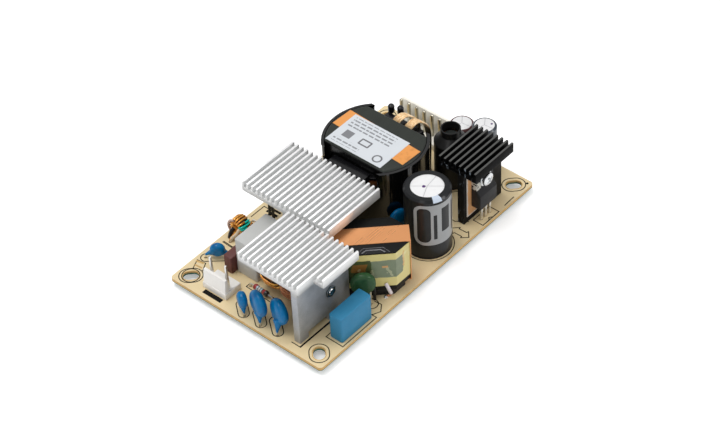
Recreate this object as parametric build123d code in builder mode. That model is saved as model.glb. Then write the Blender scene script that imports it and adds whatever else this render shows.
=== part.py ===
"""Open frame power supply on a printed circuit board.

Millimetres, +Z up. The origin is the centre of the board's underside.
+X runs from the mains inlet to the output header, +Y to the rear edge.
Heights named here are measured up from the board's top face.
"""

import os
from math import atan, cos, degrees, radians, sin, sqrt

from build123d import *

# Board
BOARD_X = 127.0
BOARD_Y = 76.2
BOARD_T = 1.6
BOARD_CORNER_R = 1.5
SLOT_INSET = 5.64
SLOT_WIDTH = 4.5
SLOT_TRAVEL = 1.85

# Leads and solder
LEAD_TIP = -2.0
PIN_TIP = -2.4
LEAD_GAP = 0.2
LEAD_SIDES = 6
SOLDER_SIDES = 4
SOLDER_GAP = 0.03
SOLDER_SPREAD = 0.5
SOLDER_TAPER = 20.0
SOLDER_H = 1.1
THIN_LEAD_R = 0.32
LEAD_R = 0.42
THICK_LEAD_R = 0.55
HEADER_PIN = 1.14
HEADER_TAIL_R = 0.7

# Mains inlet header and output header, one family
WALL_H = 9.2
WALL_T = 1.8
WALL_LEAN = 0.8
HEADER_BASE_H = 2.8
HEADER_DEPTH = 8.5
HEADER_PIN_H = 13.5
INLET_OUTER_X = -59.4
INLET_Y = (12.8, 24.65)
INLET_PIN_X = -55.7
INLET_PIN_Y = (14.65, 22.57)
INLET_PIN_LEAN = (0.4, 0.9)
OUT_WAYS = 7
OUT_PITCH = 3.96
OUT_OUTER_X = 62.4
OUT_PIN_X = 58.4
OUT_FIRST_Y = 25.1

# Fuse
FUSE_BOX = ((-47.6, 20.55), (-39.1, 24.45))
FUSE_H = 8.0
FUSE_PITCH = 5.08

# Mains suppression capacitor in a box
XCAP_BOX = ((-45.1, 9.9), (-27.3, 20.3))
XCAP_H = 17.1
XCAP_PITCH = 15.0
BOX_EDGE_R = 0.5

# Film capacitor in a box
FILM_BOX = ((-49.0, -36.0), (-31.9, -29.9))
FILM_H = 12.0
FILM_PITCH = 15.0

# Disc capacitors: front lead, way to the second lead, pitch, diameter, thickness, centre height,
# way of the face, sideways lean
INLET_DISC = ((-47.2, 34.85), -50.0, 9.7, 6.2, 3.6, 4.0, -50.0, 0.0)
LINE_DISCS = (
    ((-60.9, 2.0), 52.0, 6.4, 6.8, 3.8, 5.5, 52.0, 0.0),
    ((-61.0, -6.05), 45.0, 7.5, 11.0, 4.6, 8.0, 62.0, 0.0),
    ((-60.8, -14.4), 49.0, 7.5, 10.8, 4.7, 8.0, 62.0, 1.9),
)
SNUBBER_DISC = ((7.7, -13.0), -20.0, 5.0, 8.0, 2.8, 7.4, -20.0, 0.0)
DISC_FOOT_H = 1.4
DISC_SIDES = 16
DISC_FLAT = 0.55
DISC_TAIL = 0.75

# Discharge resistor lying behind the line discs
RESISTOR_LEADS = ((-47.9, 10.9), (-48.4, -0.9))
RESISTOR_R = 1.15
RESISTOR_LEN = 7.3
RESISTOR_H = 1.6

# Small ring choke standing near the rear edge
SMALL_CHOKE_AT = (-28.4, 33.6)
SMALL_CHOKE_R = (1.6, 3.1)
SMALL_CHOKE_LEN = 4.2
SMALL_WIRE = 0.75
SMALL_TURNS = 9
TURN_GAP = 0.12
SMALL_CHOKE_LEADS = ((-35.0, 33.3), (-22.6, 33.6))

# Line chokes standing under the front heatsink, rings with their axes along Y:
# centre x, ring radii, y range, wire, turns
LINE_CHOKES = (
    (-39.8, (3.2, 6.4), (-0.5, 6.4), 1.1, 14),
    (-40.9, (2.6, 5.6), (-8.9, -3.6), 0.8, 16),
)

# Bridge rectifier behind the front heatsink's plate
BRIDGE_X = (-52.2, -30.2)
BRIDGE_Z = (4.5, 22.5)
BRIDGE_T = 3.5
BRIDGE_PITCH = 5.08

# Front heatsink
FRONT_X = (-58.8, -30.7)
FRONT_FIN_0 = 4.7
FRONT_FIN_PITCH = 2.4
FRONT_FINS = 15
FRONT_CUT_FINS = 2
FRONT_CUT_X = -50.4
FRONT_PLATE_Y = (-24.1, -21.1)
FRONT_BASE_Z = (25.7, 27.3)
FRONT_TIP_Z = 29.8
FRONT_NOTCH_X = (-54.0, -43.0)
FRONT_NOTCH_H = 2.9
FRONT_FOOT_X = (-57.2, -33.2)
FRONT_SCREW = (-41.2, 14.05)
FIN_T = 0.9

# Rear heatsink
REAR_X = (-29.4, -0.4)
REAR_FIN_0 = 29.6
REAR_FIN_PITCH = 2.38
REAR_FINS = 19
REAR_PLATE_Y = (6.25, 9.25)
REAR_BASE_Z = (25.2, 27.1)
REAR_TIP_Z = 29.8
REAR_FOOT_X = (-26.9, -14.9, -2.9)
REAR_DEVICES = ((-22.2, -1), (-8.2, -1), (-15.0, 1))
DEVICE_W = 10.0
DEVICE_T = 4.4
DEVICE_Z = (4.0, 20.0)
DEVICE_SCREW_Z = 17.0

# Black heatsink
BLACK_X = (28.0, 51.2)
BLACK_FIN_0 = -19.3
BLACK_FIN_PITCH = 2.45
BLACK_FINS = 8
BLACK_PLATE_Y = (-31.5, -28.4)
BLACK_BASE_Z = (24.8, 26.5)
BLACK_TIP_Z = 29.3
BLACK_FOOT_X = (30.2, 49.0)

# Power transistor on the black heatsink
PAD_X = (29.6, 44.4)
PAD_Z = (3.0, 23.2)
PAD_T = 0.3
POWER_X = 37.2
POWER_W = 10.0
POWER_T = 4.5
POWER_TAB_T = 2.7
POWER_Z = (7.2, 13.8, 16.2, 23.0)
POWER_LEAD_PITCH = 2.54
POWER_LEAD_Y = -34.7
POWER_SCREW_Z = 19.9

# Screws
SCREW_R = 1.5
SCREW_GAP = 0.1
SCREW_HEAD_R = 2.8
SCREW_HEAD_H = 2.0
NUT_FLATS = 4.4
NUT_H = 0.8
WASHER_R = 3.4
WASHER_T = 0.5

# Thermistor
THERMISTOR_AT = (-28.5, -29.0)
THERMISTOR_ANGLE = -45.6
THERMISTOR_D = 9.6
THERMISTOR_T = 3.4
THERMISTOR_H = 11.0
THERMISTOR_PITCH = 5.0

# Boost inductor, turned about 45 degrees on the board
BOOST_AT = (-16.6, -22.6)
BOOST_ANGLE = -45.6
BOOST_LEN = 28.8
BOOST_W = 19.0
BOOST_CHAMFER = 5.6
BOOST_Z = (3.0, 22.5)
BOOST_PLATE_H = 3.6
BOOST_LEG_T = 3.0
BOOST_BAND_W = 8.8
BOOST_BAND_T = 0.25
BOOST_TAPE_T = 0.25
BOOST_FOOT_H = 2.7

# Bulk capacitor
BULK_AT = (11.8, -27.1)
BULK_R = 9.2
BULK_H = 30.0
BULK_SLEEVE_T = 0.3
BULK_SLEEVE_LIP = 2.7
BULK_SHOULDER = 0.8
BULK_PITCH = 7.5

# Main transformer
TR_AT = (20.9, 6.1)
TR_CORE_R = 19.75
TR_FLAT = 13.0
TR_Z = (3.6, 29.3)
TR_PLATE_H = 5.6
TR_LEG_T = 2.6
TR_POST_R = 7.0
TR_BEVEL = 0.8
TR_WRAP_R = (20.0, 20.7)
TR_WRAP_Z = (5.0, 28.0)
TR_RIM_R = 21.0
TR_RIM_H = 0.7
TR_FLANGE_T = 1.2
TR_TAPE_W = 10.0
TR_TAPE_T = 0.15
TR_TAPE_Y = (-13.1, 25.2)
TR_TAPE_SKEW = 3.0
TR_LABEL_X = (8.6, 26.5)
TR_LABEL_Y = (-6.6, 20.9)
TR_LABEL_T = 0.1
TR_SLEEVES = ((41.0, 15.2), (42.4, 11.6))
TR_SLEEVE_R = 1.4
TR_SLEEVE_Z = (23.4, 27.6)
LITZ_W = 3.4
LITZ_T = 1.3

# Output choke in a shrunk sleeve
CHOKE_AT = (45.2, -11.3)
CHOKE_BODY_R = 6.7
CHOKE_NECK_R = 4.0
CHOKE_SHOULDER_Z = 21.0
CHOKE_NECK_Z = 24.0
CHOKE_TOP_Z = 27.0
CHOKE_SLEEVE_T = 0.5

# Output capacitors: centre and height
BROWN_CAP = ((56.7, -7.5), 19.5)
DARK_CAP = ((58.3, -17.6), 22.8)
OUTPUT_CAP_R = 4.9
OUTPUT_CAP_PITCH = 5.0

# Temperature sensor and wire link
SENSOR_LEADS = ((-14.1, 31.6), (-14.6, 29.3))
SENSOR_H = 8.0
LINK_ENDS = ((-21.0, 34.3), (-21.0, 24.5))

MIN = (Align.CENTER, Align.CENTER, Align.MIN)
leads = []


def above(height):
    """The plane that lies this far above the board's top face."""
    return Plane.XY.offset(BOARD_T + height)


def block(low, high, bottom, top):
    """A box between two plan corners and two heights above the board."""
    centre = ((low[0] + high[0]) / 2, (low[1] + high[1]) / 2, BOARD_T + bottom)
    with Locations(centre):
        Box(high[0] - low[0], high[1] - low[1], top - bottom, align=MIN)


def upright(at, radius, bottom, top):
    """A straight upright prism with the few sides of a lead, between two heights in the part's own Z."""
    with BuildSketch(Plane.XY.offset(bottom)) as section:
        with Locations(at):
            RegularPolygon(radius, LEAD_SIDES)
    extrude(section.sketch, amount=top - bottom)


def round_lead(at, top, radius):
    """A straight lead from its tip under the board up to a height above it."""
    leads.append((at, radius))
    upright(at, radius, LEAD_TIP, BOARD_T + top)


def solder_cone(radius):
    """One solder joint hanging from the board's underside round a lead of this radius."""
    with BuildPart() as joint:
        with BuildSketch():
            RegularPolygon(radius + LEAD_GAP + SOLDER_SPREAD, SOLDER_SIDES, major_radius=False, rotation=45)
        extrude(amount=-SOLDER_H, taper=SOLDER_TAPER)
        with BuildSketch():
            RegularPolygon(radius + SOLDER_GAP, SOLDER_SIDES, major_radius=False, rotation=45)
        extrude(amount=-SOLDER_H, mode=Mode.SUBTRACT)
    return joint.part


def tapered(plane, sides, radii, length):
    """A prism that stands on a plane and widens or narrows from one radius to another."""
    with BuildSketch(plane) as outline:
        RegularPolygon(radii[0], sides)
    extrude(outline.sketch, amount=length, taper=degrees(atan((radii[0] - radii[1]) / abs(length))))


def pair(centre, pitch, angle=0.0):
    """Two lead places about a centre, pitch apart, along a direction in plan."""
    step = (cos(radians(angle)) * pitch / 2, sin(radians(angle)) * pitch / 2)
    return (centre[0] - step[0], centre[1] - step[1]), (centre[0] + step[0], centre[1] + step[1])


def middle(box):
    """The centre of a plan rectangle."""
    return (box[0][0] + box[1][0]) / 2, (box[0][1] + box[1][1]) / 2


def disc_ends(disc):
    """Plan places of a disc capacitor's two leads and the centre between them."""
    at, angle, pitch = disc[:3]
    step = (cos(radians(angle)) * pitch, sin(radians(angle)) * pitch)
    far = (at[0] + step[0], at[1] + step[1])
    return at, far, ((at[0] + far[0]) / 2, (at[1] + far[1]) / 2)


def disc_body(disc):
    """A dipped disc: lens shaped body and a coated tail down to each lead."""
    diameter, thickness, height, angle, lean = disc[3:]
    near, far, centre = disc_ends(disc)
    along = (cos(radians(angle)), sin(radians(angle)), 0)
    centre = (centre[0] + along[1] * lean, centre[1] - along[0] * lean, BOARD_T + height)
    face = Plane(origin=centre, x_dir=along, z_dir=(along[1], -along[0], 0))
    for side in (1, -1):
        tapered(face, DISC_SIDES, (diameter / 2, DISC_FLAT * diameter / 2), side * thickness / 2)
    for at in (near, far):
        foot = (at[0], at[1], BOARD_T + DISC_FOOT_H)
        reach = (centre[0] - foot[0], centre[1] - foot[1], centre[2] - foot[2])
        length = DISC_TAIL * sqrt(sum(part ** 2 for part in reach))
        tapered(Plane(origin=foot, z_dir=reach), LEAD_SIDES, (THIN_LEAD_R + 0.12, thickness * 0.36), length)
        with Locations((at[0], at[1], BOARD_T)):
            Box(2.0, 2.0, DISC_FOOT_H, align=MIN, mode=Mode.SUBTRACT)


def wall_outline(outer, way):
    """Outline of a header's lock wall, leaning inwards, as X and Z pairs."""
    top = BOARD_T + WALL_H
    return (
        (outer, BOARD_T),
        (outer + way * WALL_LEAN, top),
        (outer + way * (WALL_LEAN + WALL_T * 0.7), top),
        (outer + way * (WALL_LEAN + WALL_T), BOARD_T + WALL_H * 0.6),
        (outer + way * (WALL_LEAN + WALL_T), BOARD_T),
    )


def comb(fin_0, pitch, count, tip, base, ends):
    """A row of fins on a flat base, as one closed outline in the YZ plane."""
    last = fin_0 - pitch * (count - 1) - FIN_T
    with Locations(((ends[0] + ends[1]) / 2, (fin_0 + last) / 2, BOARD_T + base[0])):
        Box(ends[1] - ends[0], fin_0 - last, base[1] - base[0], align=MIN)
    for k in range(count):
        y = fin_0 - pitch * k
        block((ends[0], y - FIN_T), (ends[1], y), base[1], tip)


def heatsink_feet(places, y_range):
    """Two round solder feet under a heatsink's plate."""
    y = (y_range[0] + y_range[1]) / 2
    for x in places:
        leads.append(((x, y), HEADER_TAIL_R))
        upright((x, y), HEADER_TAIL_R, PIN_TIP, BOARD_T)


# Inlet header
with BuildPart() as inlet_housing:
    block((INLET_OUTER_X, INLET_Y[0]), (INLET_OUTER_X + HEADER_DEPTH, INLET_Y[1]), 0, HEADER_BASE_H)
    with BuildSketch(Plane(origin=(0, INLET_Y[1] - 0.3, 0), x_dir=(1, 0, 0), z_dir=(0, -1, 0))):
        with BuildLine():
            Polyline(*wall_outline(INLET_OUTER_X, 1), close=True)
        make_face()
    extrude(amount=INLET_Y[1] - INLET_Y[0] - 0.6)
    for y in INLET_PIN_Y:
        with Locations((INLET_PIN_X, y, BOARD_T)):
            Box(HEADER_PIN + 0.04, HEADER_PIN + 0.04, HEADER_BASE_H, align=MIN, mode=Mode.SUBTRACT)
inlet_housing.part.label = "inlet_housing"

with BuildPart() as inlet_pins:
    for y in INLET_PIN_Y:
        leads.append(((INLET_PIN_X, y), HEADER_PIN / sqrt(2)))
        with Locations((INLET_PIN_X, y, PIN_TIP)):
            Box(HEADER_PIN, HEADER_PIN, BOARD_T + HEADER_BASE_H - PIN_TIP, align=MIN)
        with BuildSketch(above(HEADER_BASE_H)):
            with Locations((INLET_PIN_X, y)):
                Rectangle(HEADER_PIN, HEADER_PIN)
        with BuildSketch(above(HEADER_PIN_H)):
            with Locations((INLET_PIN_X + INLET_PIN_LEAN[0], y + INLET_PIN_LEAN[1])):
                Rectangle(HEADER_PIN * 0.7, HEADER_PIN * 0.7)
        loft()
inlet_pins.part.label = "inlet_pins"

# Fuse
with BuildPart() as fuse_case:
    block(FUSE_BOX[0], FUSE_BOX[1], 0, FUSE_H)
    chamfer(fuse_case.edges().filter_by(Axis.Z), 0.3)
fuse_case.part.label = "fuse_case"

# Mains suppression capacitor
with BuildPart() as x_capacitor_case:
    block(XCAP_BOX[0], XCAP_BOX[1], 0, XCAP_H)
    chamfer(x_capacitor_case.edges().filter_by(Axis.Z), BOX_EDGE_R)
x_capacitor_case.part.label = "x_capacitor_case"

# Film capacitor
with BuildPart() as film_capacitor_case:
    block(FILM_BOX[0], FILM_BOX[1], 0, FILM_H)
    chamfer(film_capacitor_case.edges().filter_by(Axis.Z), BOX_EDGE_R)
film_capacitor_case.part.label = "film_capacitor_case"

# Dipped disc capacitors
with BuildPart() as inlet_disc:
    disc_body(INLET_DISC)
inlet_disc.part.label = "inlet_disc"

with BuildPart() as line_discs:
    for disc in LINE_DISCS:
        disc_body(disc)
line_discs.part.label = "line_discs"

with BuildPart() as snubber_disc:
    disc_body(SNUBBER_DISC)
snubber_disc.part.label = "snubber_disc"

with BuildPart() as disc_leads:
    for disc in (INLET_DISC, *LINE_DISCS, SNUBBER_DISC):
        for at in disc_ends(disc)[:2]:
            round_lead(at, DISC_FOOT_H, THIN_LEAD_R)
disc_leads.part.label = "disc_leads"

# Discharge resistor, lying along Y
(ra, rb) = RESISTOR_LEADS
resistor_len = sqrt((rb[0] - ra[0]) ** 2 + (rb[1] - ra[1]) ** 2)
resistor_dir = ((rb[0] - ra[0]) / resistor_len, (rb[1] - ra[1]) / resistor_len, 0)
resistor_mid = ((ra[0] + rb[0]) / 2, (ra[1] + rb[1]) / 2, BOARD_T + RESISTOR_H)
with BuildPart() as discharge_resistor:
    with Locations(Plane(origin=resistor_mid, z_dir=resistor_dir)):
        Cylinder(RESISTOR_R * 0.87, RESISTOR_LEN)
        for end in (-1, 1):
            with Locations((0, 0, end * (RESISTOR_LEN / 2 - 0.9))):
                Cylinder(RESISTOR_R, 1.8)
discharge_resistor.part.label = "discharge_resistor"

with BuildPart() as resistor_leads:
    for at, way in ((ra, 1), (rb, -1)):
        reach = (resistor_len - RESISTOR_LEN) / 2
        end = (at[0] + way * resistor_dir[0] * reach, at[1] + way * resistor_dir[1] * reach)
        leads.append((at, THIN_LEAD_R))
        with BuildLine():
            FilletPolyline(
                (at[0], at[1], LEAD_TIP),
                (at[0], at[1], BOARD_T + RESISTOR_H),
                (end[0], end[1], BOARD_T + RESISTOR_H),
                radius=0.8,
            )
        with BuildSketch(Plane.XY.offset(LEAD_TIP)):
            with Locations(at):
                RegularPolygon(THIN_LEAD_R, LEAD_SIDES)
        sweep()
resistor_leads.part.label = "resistor_leads"

# Small ring choke with its axis along X
small_x, small_y = SMALL_CHOKE_AT
small_z = SMALL_CHOKE_R[1] + TURN_GAP + SMALL_WIRE
small_plane = Plane(origin=(small_x, small_y, BOARD_T + small_z), z_dir=(1, 0, 0))
with BuildPart() as small_choke_core:
    with BuildSketch(small_plane.offset(-SMALL_CHOKE_LEN / 2)):
        Circle(SMALL_CHOKE_R[1])
        Circle(SMALL_CHOKE_R[0], mode=Mode.SUBTRACT)
    extrude(amount=SMALL_CHOKE_LEN)
small_choke_core.part.label = "small_choke_core"

with BuildPart() as small_choke_winding:
    ring_mid = (SMALL_CHOKE_R[0] + SMALL_CHOKE_R[1]) / 2
    ring_w = SMALL_CHOKE_R[1] - SMALL_CHOKE_R[0]
    for k in range(SMALL_TURNS):
        turn = radians(360.0 * k / SMALL_TURNS)
        out = (0, cos(turn), sin(turn))
        spot = (small_x, small_y + ring_mid * out[1], BOARD_T + small_z + ring_mid * out[2])
        frame_plane = Plane(origin=spot, x_dir=(1, 0, 0), z_dir=(0, -out[2], out[1]))
        with BuildSketch(frame_plane.offset(-SMALL_WIRE / 2)):
            inside = (SMALL_CHOKE_LEN + 2 * TURN_GAP, ring_w + 2 * TURN_GAP)
            Rectangle(inside[0] + 2 * SMALL_WIRE, inside[1] + 2 * SMALL_WIRE)
            Rectangle(*inside, mode=Mode.SUBTRACT)
        extrude(amount=SMALL_WIRE)
small_choke_winding.part.label = "small_choke_winding"

# Line chokes: two rings, each with its own turns, standing on the board
with BuildPart() as line_choke_cores:
    for x, radii, (low, high), wire, count in LINE_CHOKES:
        ring_z = BOARD_T + radii[1] + TURN_GAP + wire
        with BuildSketch(Plane(origin=(x, high, ring_z), z_dir=(0, -1, 0))):
            Circle(radii[1])
            Circle(radii[0], mode=Mode.SUBTRACT)
        extrude(amount=high - low)
line_choke_cores.part.label = "line_choke_cores"

with BuildPart() as line_choke_windings:
    for x, radii, (low, high), wire, count in LINE_CHOKES:
        ring_mid = sum(radii) / 2
        ring_z = BOARD_T + radii[1] + TURN_GAP + wire
        inside = (high - low + 2 * TURN_GAP, radii[1] - radii[0] + 2 * TURN_GAP)
        for k in range(count):
            turn = radians(360.0 * (k + 0.5) / count)
            out = (cos(turn), 0, sin(turn))
            spot = (x + ring_mid * out[0], (low + high) / 2, ring_z + ring_mid * out[2])
            frame_plane = Plane(origin=spot, x_dir=(0, 1, 0), z_dir=(out[2], 0, -out[0]))
            with BuildSketch(frame_plane.offset(-wire / 2)):
                Rectangle(inside[0] + 2 * wire, inside[1] + 2 * wire)
                Rectangle(*inside, mode=Mode.SUBTRACT)
            extrude(amount=wire)
line_choke_windings.part.label = "line_choke_windings"

# Leads of the three ring chokes
with BuildPart() as choke_leads:
    for x, radii, (low, high), wire, count in LINE_CHOKES:
        for y in (low - TURN_GAP - wire / 2, high + TURN_GAP + wire / 2):
            round_lead((x - 2.5, y), 0, LEAD_R)
            round_lead((x + 2.5, y), 0, LEAD_R)
    for at, way in zip(SMALL_CHOKE_LEADS, (1, -1)):
        leads.append((at, LEAD_R))
        start_x = small_x - way * (SMALL_CHOKE_LEN / 2 + SMALL_WIRE + 2 * TURN_GAP)
        with BuildLine():
            FilletPolyline(
                (at[0], at[1], LEAD_TIP),
                (at[0], at[1], BOARD_T + 1.0),
                (start_x, small_y, BOARD_T + small_z - 1.6),
                radius=0.7,
            )
        with BuildSketch(Plane.XY.offset(LEAD_TIP)):
            with Locations(at):
                RegularPolygon(LEAD_R, LEAD_SIDES)
        sweep()
choke_leads.part.label = "choke_leads"

# Bridge rectifier behind the front plate
with BuildPart() as bridge_rectifier:
    bridge_y = FRONT_PLATE_Y[1]
    block((BRIDGE_X[0], bridge_y), (BRIDGE_X[1], bridge_y + BRIDGE_T), BRIDGE_Z[0], BRIDGE_Z[1])
    with Locations(Plane(origin=(FRONT_SCREW[0], bridge_y, BOARD_T + FRONT_SCREW[1]), z_dir=(0, 1, 0))):
        Cylinder(SCREW_R + SCREW_GAP, BRIDGE_T, align=MIN, mode=Mode.SUBTRACT)
bridge_rectifier.part.label = "bridge_rectifier"

# Front heatsink
with BuildPart() as front_heatsink:
    comb(FRONT_FIN_0, FRONT_FIN_PITCH, FRONT_FINS, FRONT_TIP_Z, FRONT_BASE_Z, FRONT_X)
    block((FRONT_X[0], FRONT_PLATE_Y[0]), (FRONT_X[1], FRONT_PLATE_Y[1]), 0, FRONT_BASE_Z[1])
    cut_y = FRONT_FIN_0 - FRONT_FIN_PITCH * (FRONT_FINS - FRONT_CUT_FINS - 1) - FIN_T
    with Locations(((FRONT_X[0] + FRONT_CUT_X) / 2, cut_y - 5, BOARD_T)):
        Box(FRONT_CUT_X - FRONT_X[0], 10, FRONT_TIP_Z, align=MIN, mode=Mode.SUBTRACT)
    with Locations(((FRONT_NOTCH_X[0] + FRONT_NOTCH_X[1]) / 2, FRONT_PLATE_Y[1], BOARD_T)):
        Box(FRONT_NOTCH_X[1] - FRONT_NOTCH_X[0], 10, FRONT_NOTCH_H, align=MIN, mode=Mode.SUBTRACT)
    with Locations(Plane(origin=(FRONT_SCREW[0], FRONT_PLATE_Y[1], BOARD_T + FRONT_SCREW[1]), z_dir=(0, -1, 0))):
        Cylinder(SCREW_R + SCREW_GAP, FRONT_PLATE_Y[1] - FRONT_PLATE_Y[0], align=MIN, mode=Mode.SUBTRACT)
    heatsink_feet(FRONT_FOOT_X, FRONT_PLATE_Y)
front_heatsink.part.label = "front_heatsink"

with BuildPart() as bridge_nut:
    nut_plane = Plane(origin=(FRONT_SCREW[0], FRONT_PLATE_Y[0], BOARD_T + FRONT_SCREW[1]), z_dir=(0, -1, 0))
    with BuildSketch(nut_plane):
        RegularPolygon(NUT_FLATS / 2, 6, major_radius=False)
        Circle(SCREW_R + 0.02, mode=Mode.SUBTRACT)
    extrude(amount=NUT_H)
bridge_nut.part.label = "bridge_nut"

# Thermistor
with BuildPart() as thermistor_disc:
    along = (cos(radians(THERMISTOR_ANGLE)), sin(radians(THERMISTOR_ANGLE)), 0)
    with Locations(
        Plane(
            origin=(THERMISTOR_AT[0], THERMISTOR_AT[1], BOARD_T + THERMISTOR_H),
            x_dir=along,
            z_dir=(along[1], -along[0], 0),
        )
    ):
        Cylinder(THERMISTOR_D / 2, THERMISTOR_T)
    chamfer(thermistor_disc.edges().filter_by(GeomType.CIRCLE), 0.7)
thermistor_disc.part.label = "thermistor_disc"

with BuildPart() as thermistor_leads:
    for at in pair(THERMISTOR_AT, THERMISTOR_PITCH, THERMISTOR_ANGLE):
        round_lead(at, THERMISTOR_H - sqrt((THERMISTOR_D / 2) ** 2 - (THERMISTOR_PITCH / 2) ** 2) + 0.7, LEAD_R)
    with Locations(
        Plane(
            origin=(THERMISTOR_AT[0], THERMISTOR_AT[1], BOARD_T + THERMISTOR_H),
            x_dir=along,
            z_dir=(along[1], -along[0], 0),
        )
    ):
        Cylinder(THERMISTOR_D / 2 + 0.01, THERMISTOR_T, mode=Mode.SUBTRACT)
thermistor_leads.part.label = "thermistor_leads"


def boost_plane(height):
    """The inductor's own plane, turned with it, at a height above the board."""
    turn = radians(BOOST_ANGLE)
    return Plane(
        origin=(BOOST_AT[0], BOOST_AT[1], BOARD_T + height), x_dir=(cos(turn), sin(turn), 0), z_dir=(0, 0, 1)
    )


def boost_outline(grow=0.0):
    """Corner points of the inductor's eight sided outline, grown outwards."""
    length, width = BOOST_LEN / 2 + grow, BOOST_W / 2 + grow
    cut = BOOST_CHAMFER + grow * (2 - sqrt(2))
    points = []
    for sx, sy in ((1, 1), (-1, 1), (-1, -1), (1, -1)):
        first, second = (sx * (length - cut), sy * width), (sx * length, sy * (width - cut))
        points += [second, first] if sx * sy > 0 else [first, second]
    return points


with BuildPart() as boost_core:
    low, high = BOOST_Z
    with BuildSketch(boost_plane(low)):
        with BuildLine():
            Polyline(*boost_outline(), close=True)
        make_face()
    extrude(amount=high - low)
    with BuildSketch(boost_plane(low + BOOST_PLATE_H)):
        Rectangle(BOOST_LEN - 2 * BOOST_LEG_T, BOOST_W + 1)
        Circle(4.6, mode=Mode.SUBTRACT)
    extrude(amount=high - low - 2 * BOOST_PLATE_H, mode=Mode.SUBTRACT)
boost_core.part.label = "boost_core"

with BuildPart() as boost_winding:
    with BuildSketch(boost_plane(BOOST_Z[0] + BOOST_PLATE_H + 1.1)):
        Circle(BOOST_W / 2 - 0.3)
        Circle(5.7, mode=Mode.SUBTRACT)
    extrude(amount=BOOST_Z[1] - BOOST_Z[0] - 2 * BOOST_PLATE_H - 2.2)
boost_winding.part.label = "boost_winding"

with BuildPart() as boost_bobbin:
    inner_low = BOOST_Z[0] + BOOST_PLATE_H
    inner_high = BOOST_Z[1] - BOOST_PLATE_H
    with BuildSketch(boost_plane(inner_low + 0.05)):
        Circle(5.6)
    extrude(amount=inner_high - inner_low - 0.1)
    for z in (inner_low + 0.05, inner_high - 1.05):
        with BuildSketch(boost_plane(z)):
            Circle(BOOST_W / 2)
        extrude(amount=1.0)
    with BuildSketch(boost_plane(inner_low)):
        Circle(4.7)
    extrude(amount=inner_high - inner_low, mode=Mode.SUBTRACT)
boost_bobbin.part.label = "boost_bobbin"

with BuildPart() as boost_foot:
    with BuildSketch(boost_plane(0)):
        Rectangle(BOOST_LEN - 4, BOOST_W - 1.2)
    extrude(amount=BOOST_FOOT_H)
    chamfer(boost_foot.edges().filter_by(Axis.Z), 4.5)
boost_foot.part.label = "boost_foot"

with BuildPart() as boost_tape:
    with BuildSketch(boost_plane(BOOST_Z[0] + 2.6)):
        with BuildLine():
            Polyline(*boost_outline(BOOST_TAPE_T + 0.02), close=True)
        make_face()
        with BuildLine():
            Polyline(*boost_outline(0.02), close=True)
        make_face(mode=Mode.SUBTRACT)
    extrude(amount=BOOST_Z[1] - BOOST_Z[0] - 3.2)
boost_tape.part.label = "boost_tape"

band_half = BOOST_LEN / 2 + BOOST_TAPE_T + 0.06
with BuildPart() as boost_band:
    with Locations(boost_plane(BOOST_Z[0] - BOOST_BAND_T)):
        Box(
            2 * (band_half + BOOST_BAND_T),
            BOOST_BAND_W,
            BOOST_Z[1] - BOOST_Z[0] + 2 * BOOST_BAND_T,
            align=MIN,
        )
    with Locations(boost_plane(BOOST_Z[0])):
        Box(2 * band_half, BOOST_BAND_W + 1, BOOST_Z[1] - BOOST_Z[0], align=MIN, mode=Mode.SUBTRACT)
boost_band.part.label = "boost_band"

with BuildPart() as bobbin_pins:
    for sx in (-1, 1):
        for sy in (-1, 0, 1):
            spot = boost_plane(0).from_local_coords((sx * 9.5, sy * 5.0, 0))
            round_lead((spot.X, spot.Y), 0, LEAD_R)
    for sx in (-1, 1):
        for k in range(6):
            spot = (TR_AT[0] + sx * 16.0, TR_AT[1] + (k - 2.5) * 4.6)
            round_lead(spot, 0, LEAD_R)
bobbin_pins.part.label = "bobbin_pins"

# Bulk capacitor: can, printed sleeve and leads
with BuildPart() as bulk_capacitor_can:
    with Locations((BULK_AT[0], BULK_AT[1], BOARD_T)):
        Cylinder(BULK_R - BULK_SLEEVE_T - 0.02, BULK_H - BULK_SLEEVE_T - 0.02, align=MIN)
    chamfer(bulk_capacitor_can.edges().filter_by(GeomType.CIRCLE).group_by(Axis.Z)[-1], BULK_SHOULDER)
bulk_capacitor_can.part.label = "bulk_capacitor_can"

with BuildPart() as bulk_capacitor_sleeve:
    wall, shoulder, lip = BULK_SLEEVE_T, BULK_SHOULDER, BULK_R - BULK_SLEEVE_LIP
    with BuildSketch(Plane(origin=(BULK_AT[0], BULK_AT[1], BOARD_T), x_dir=(1, 0, 0), z_dir=(0, -1, 0))):
        with BuildLine():
            Polyline(
                (BULK_R - wall, 0.3),
                (BULK_R, 0.3),
                (BULK_R, BULK_H - shoulder),
                (BULK_R - shoulder, BULK_H),
                (lip, BULK_H),
                (lip, BULK_H - wall),
                (BULK_R - shoulder - 0.15, BULK_H - wall),
                (BULK_R - wall, BULK_H - shoulder - 0.15),
                close=True,
            )
        make_face()
    revolve(axis=Axis((BULK_AT[0], BULK_AT[1], 0), (0, 0, 1)))
bulk_capacitor_sleeve.part.label = "bulk_capacitor_sleeve"

# Output electrolytic capacitors
with BuildPart() as brown_capacitor:
    with Locations((BROWN_CAP[0][0], BROWN_CAP[0][1], BOARD_T)):
        Cylinder(OUTPUT_CAP_R, BROWN_CAP[1], align=MIN)
    chamfer(brown_capacitor.edges().filter_by(GeomType.CIRCLE).group_by(Axis.Z)[-1], 0.5)
brown_capacitor.part.label = "brown_capacitor"

with BuildPart() as dark_capacitor:
    with Locations((DARK_CAP[0][0], DARK_CAP[0][1], BOARD_T)):
        Cylinder(OUTPUT_CAP_R, DARK_CAP[1], align=MIN)
    chamfer(dark_capacitor.edges().filter_by(GeomType.CIRCLE).group_by(Axis.Z)[-1], 0.5)
dark_capacitor.part.label = "dark_capacitor"

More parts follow.
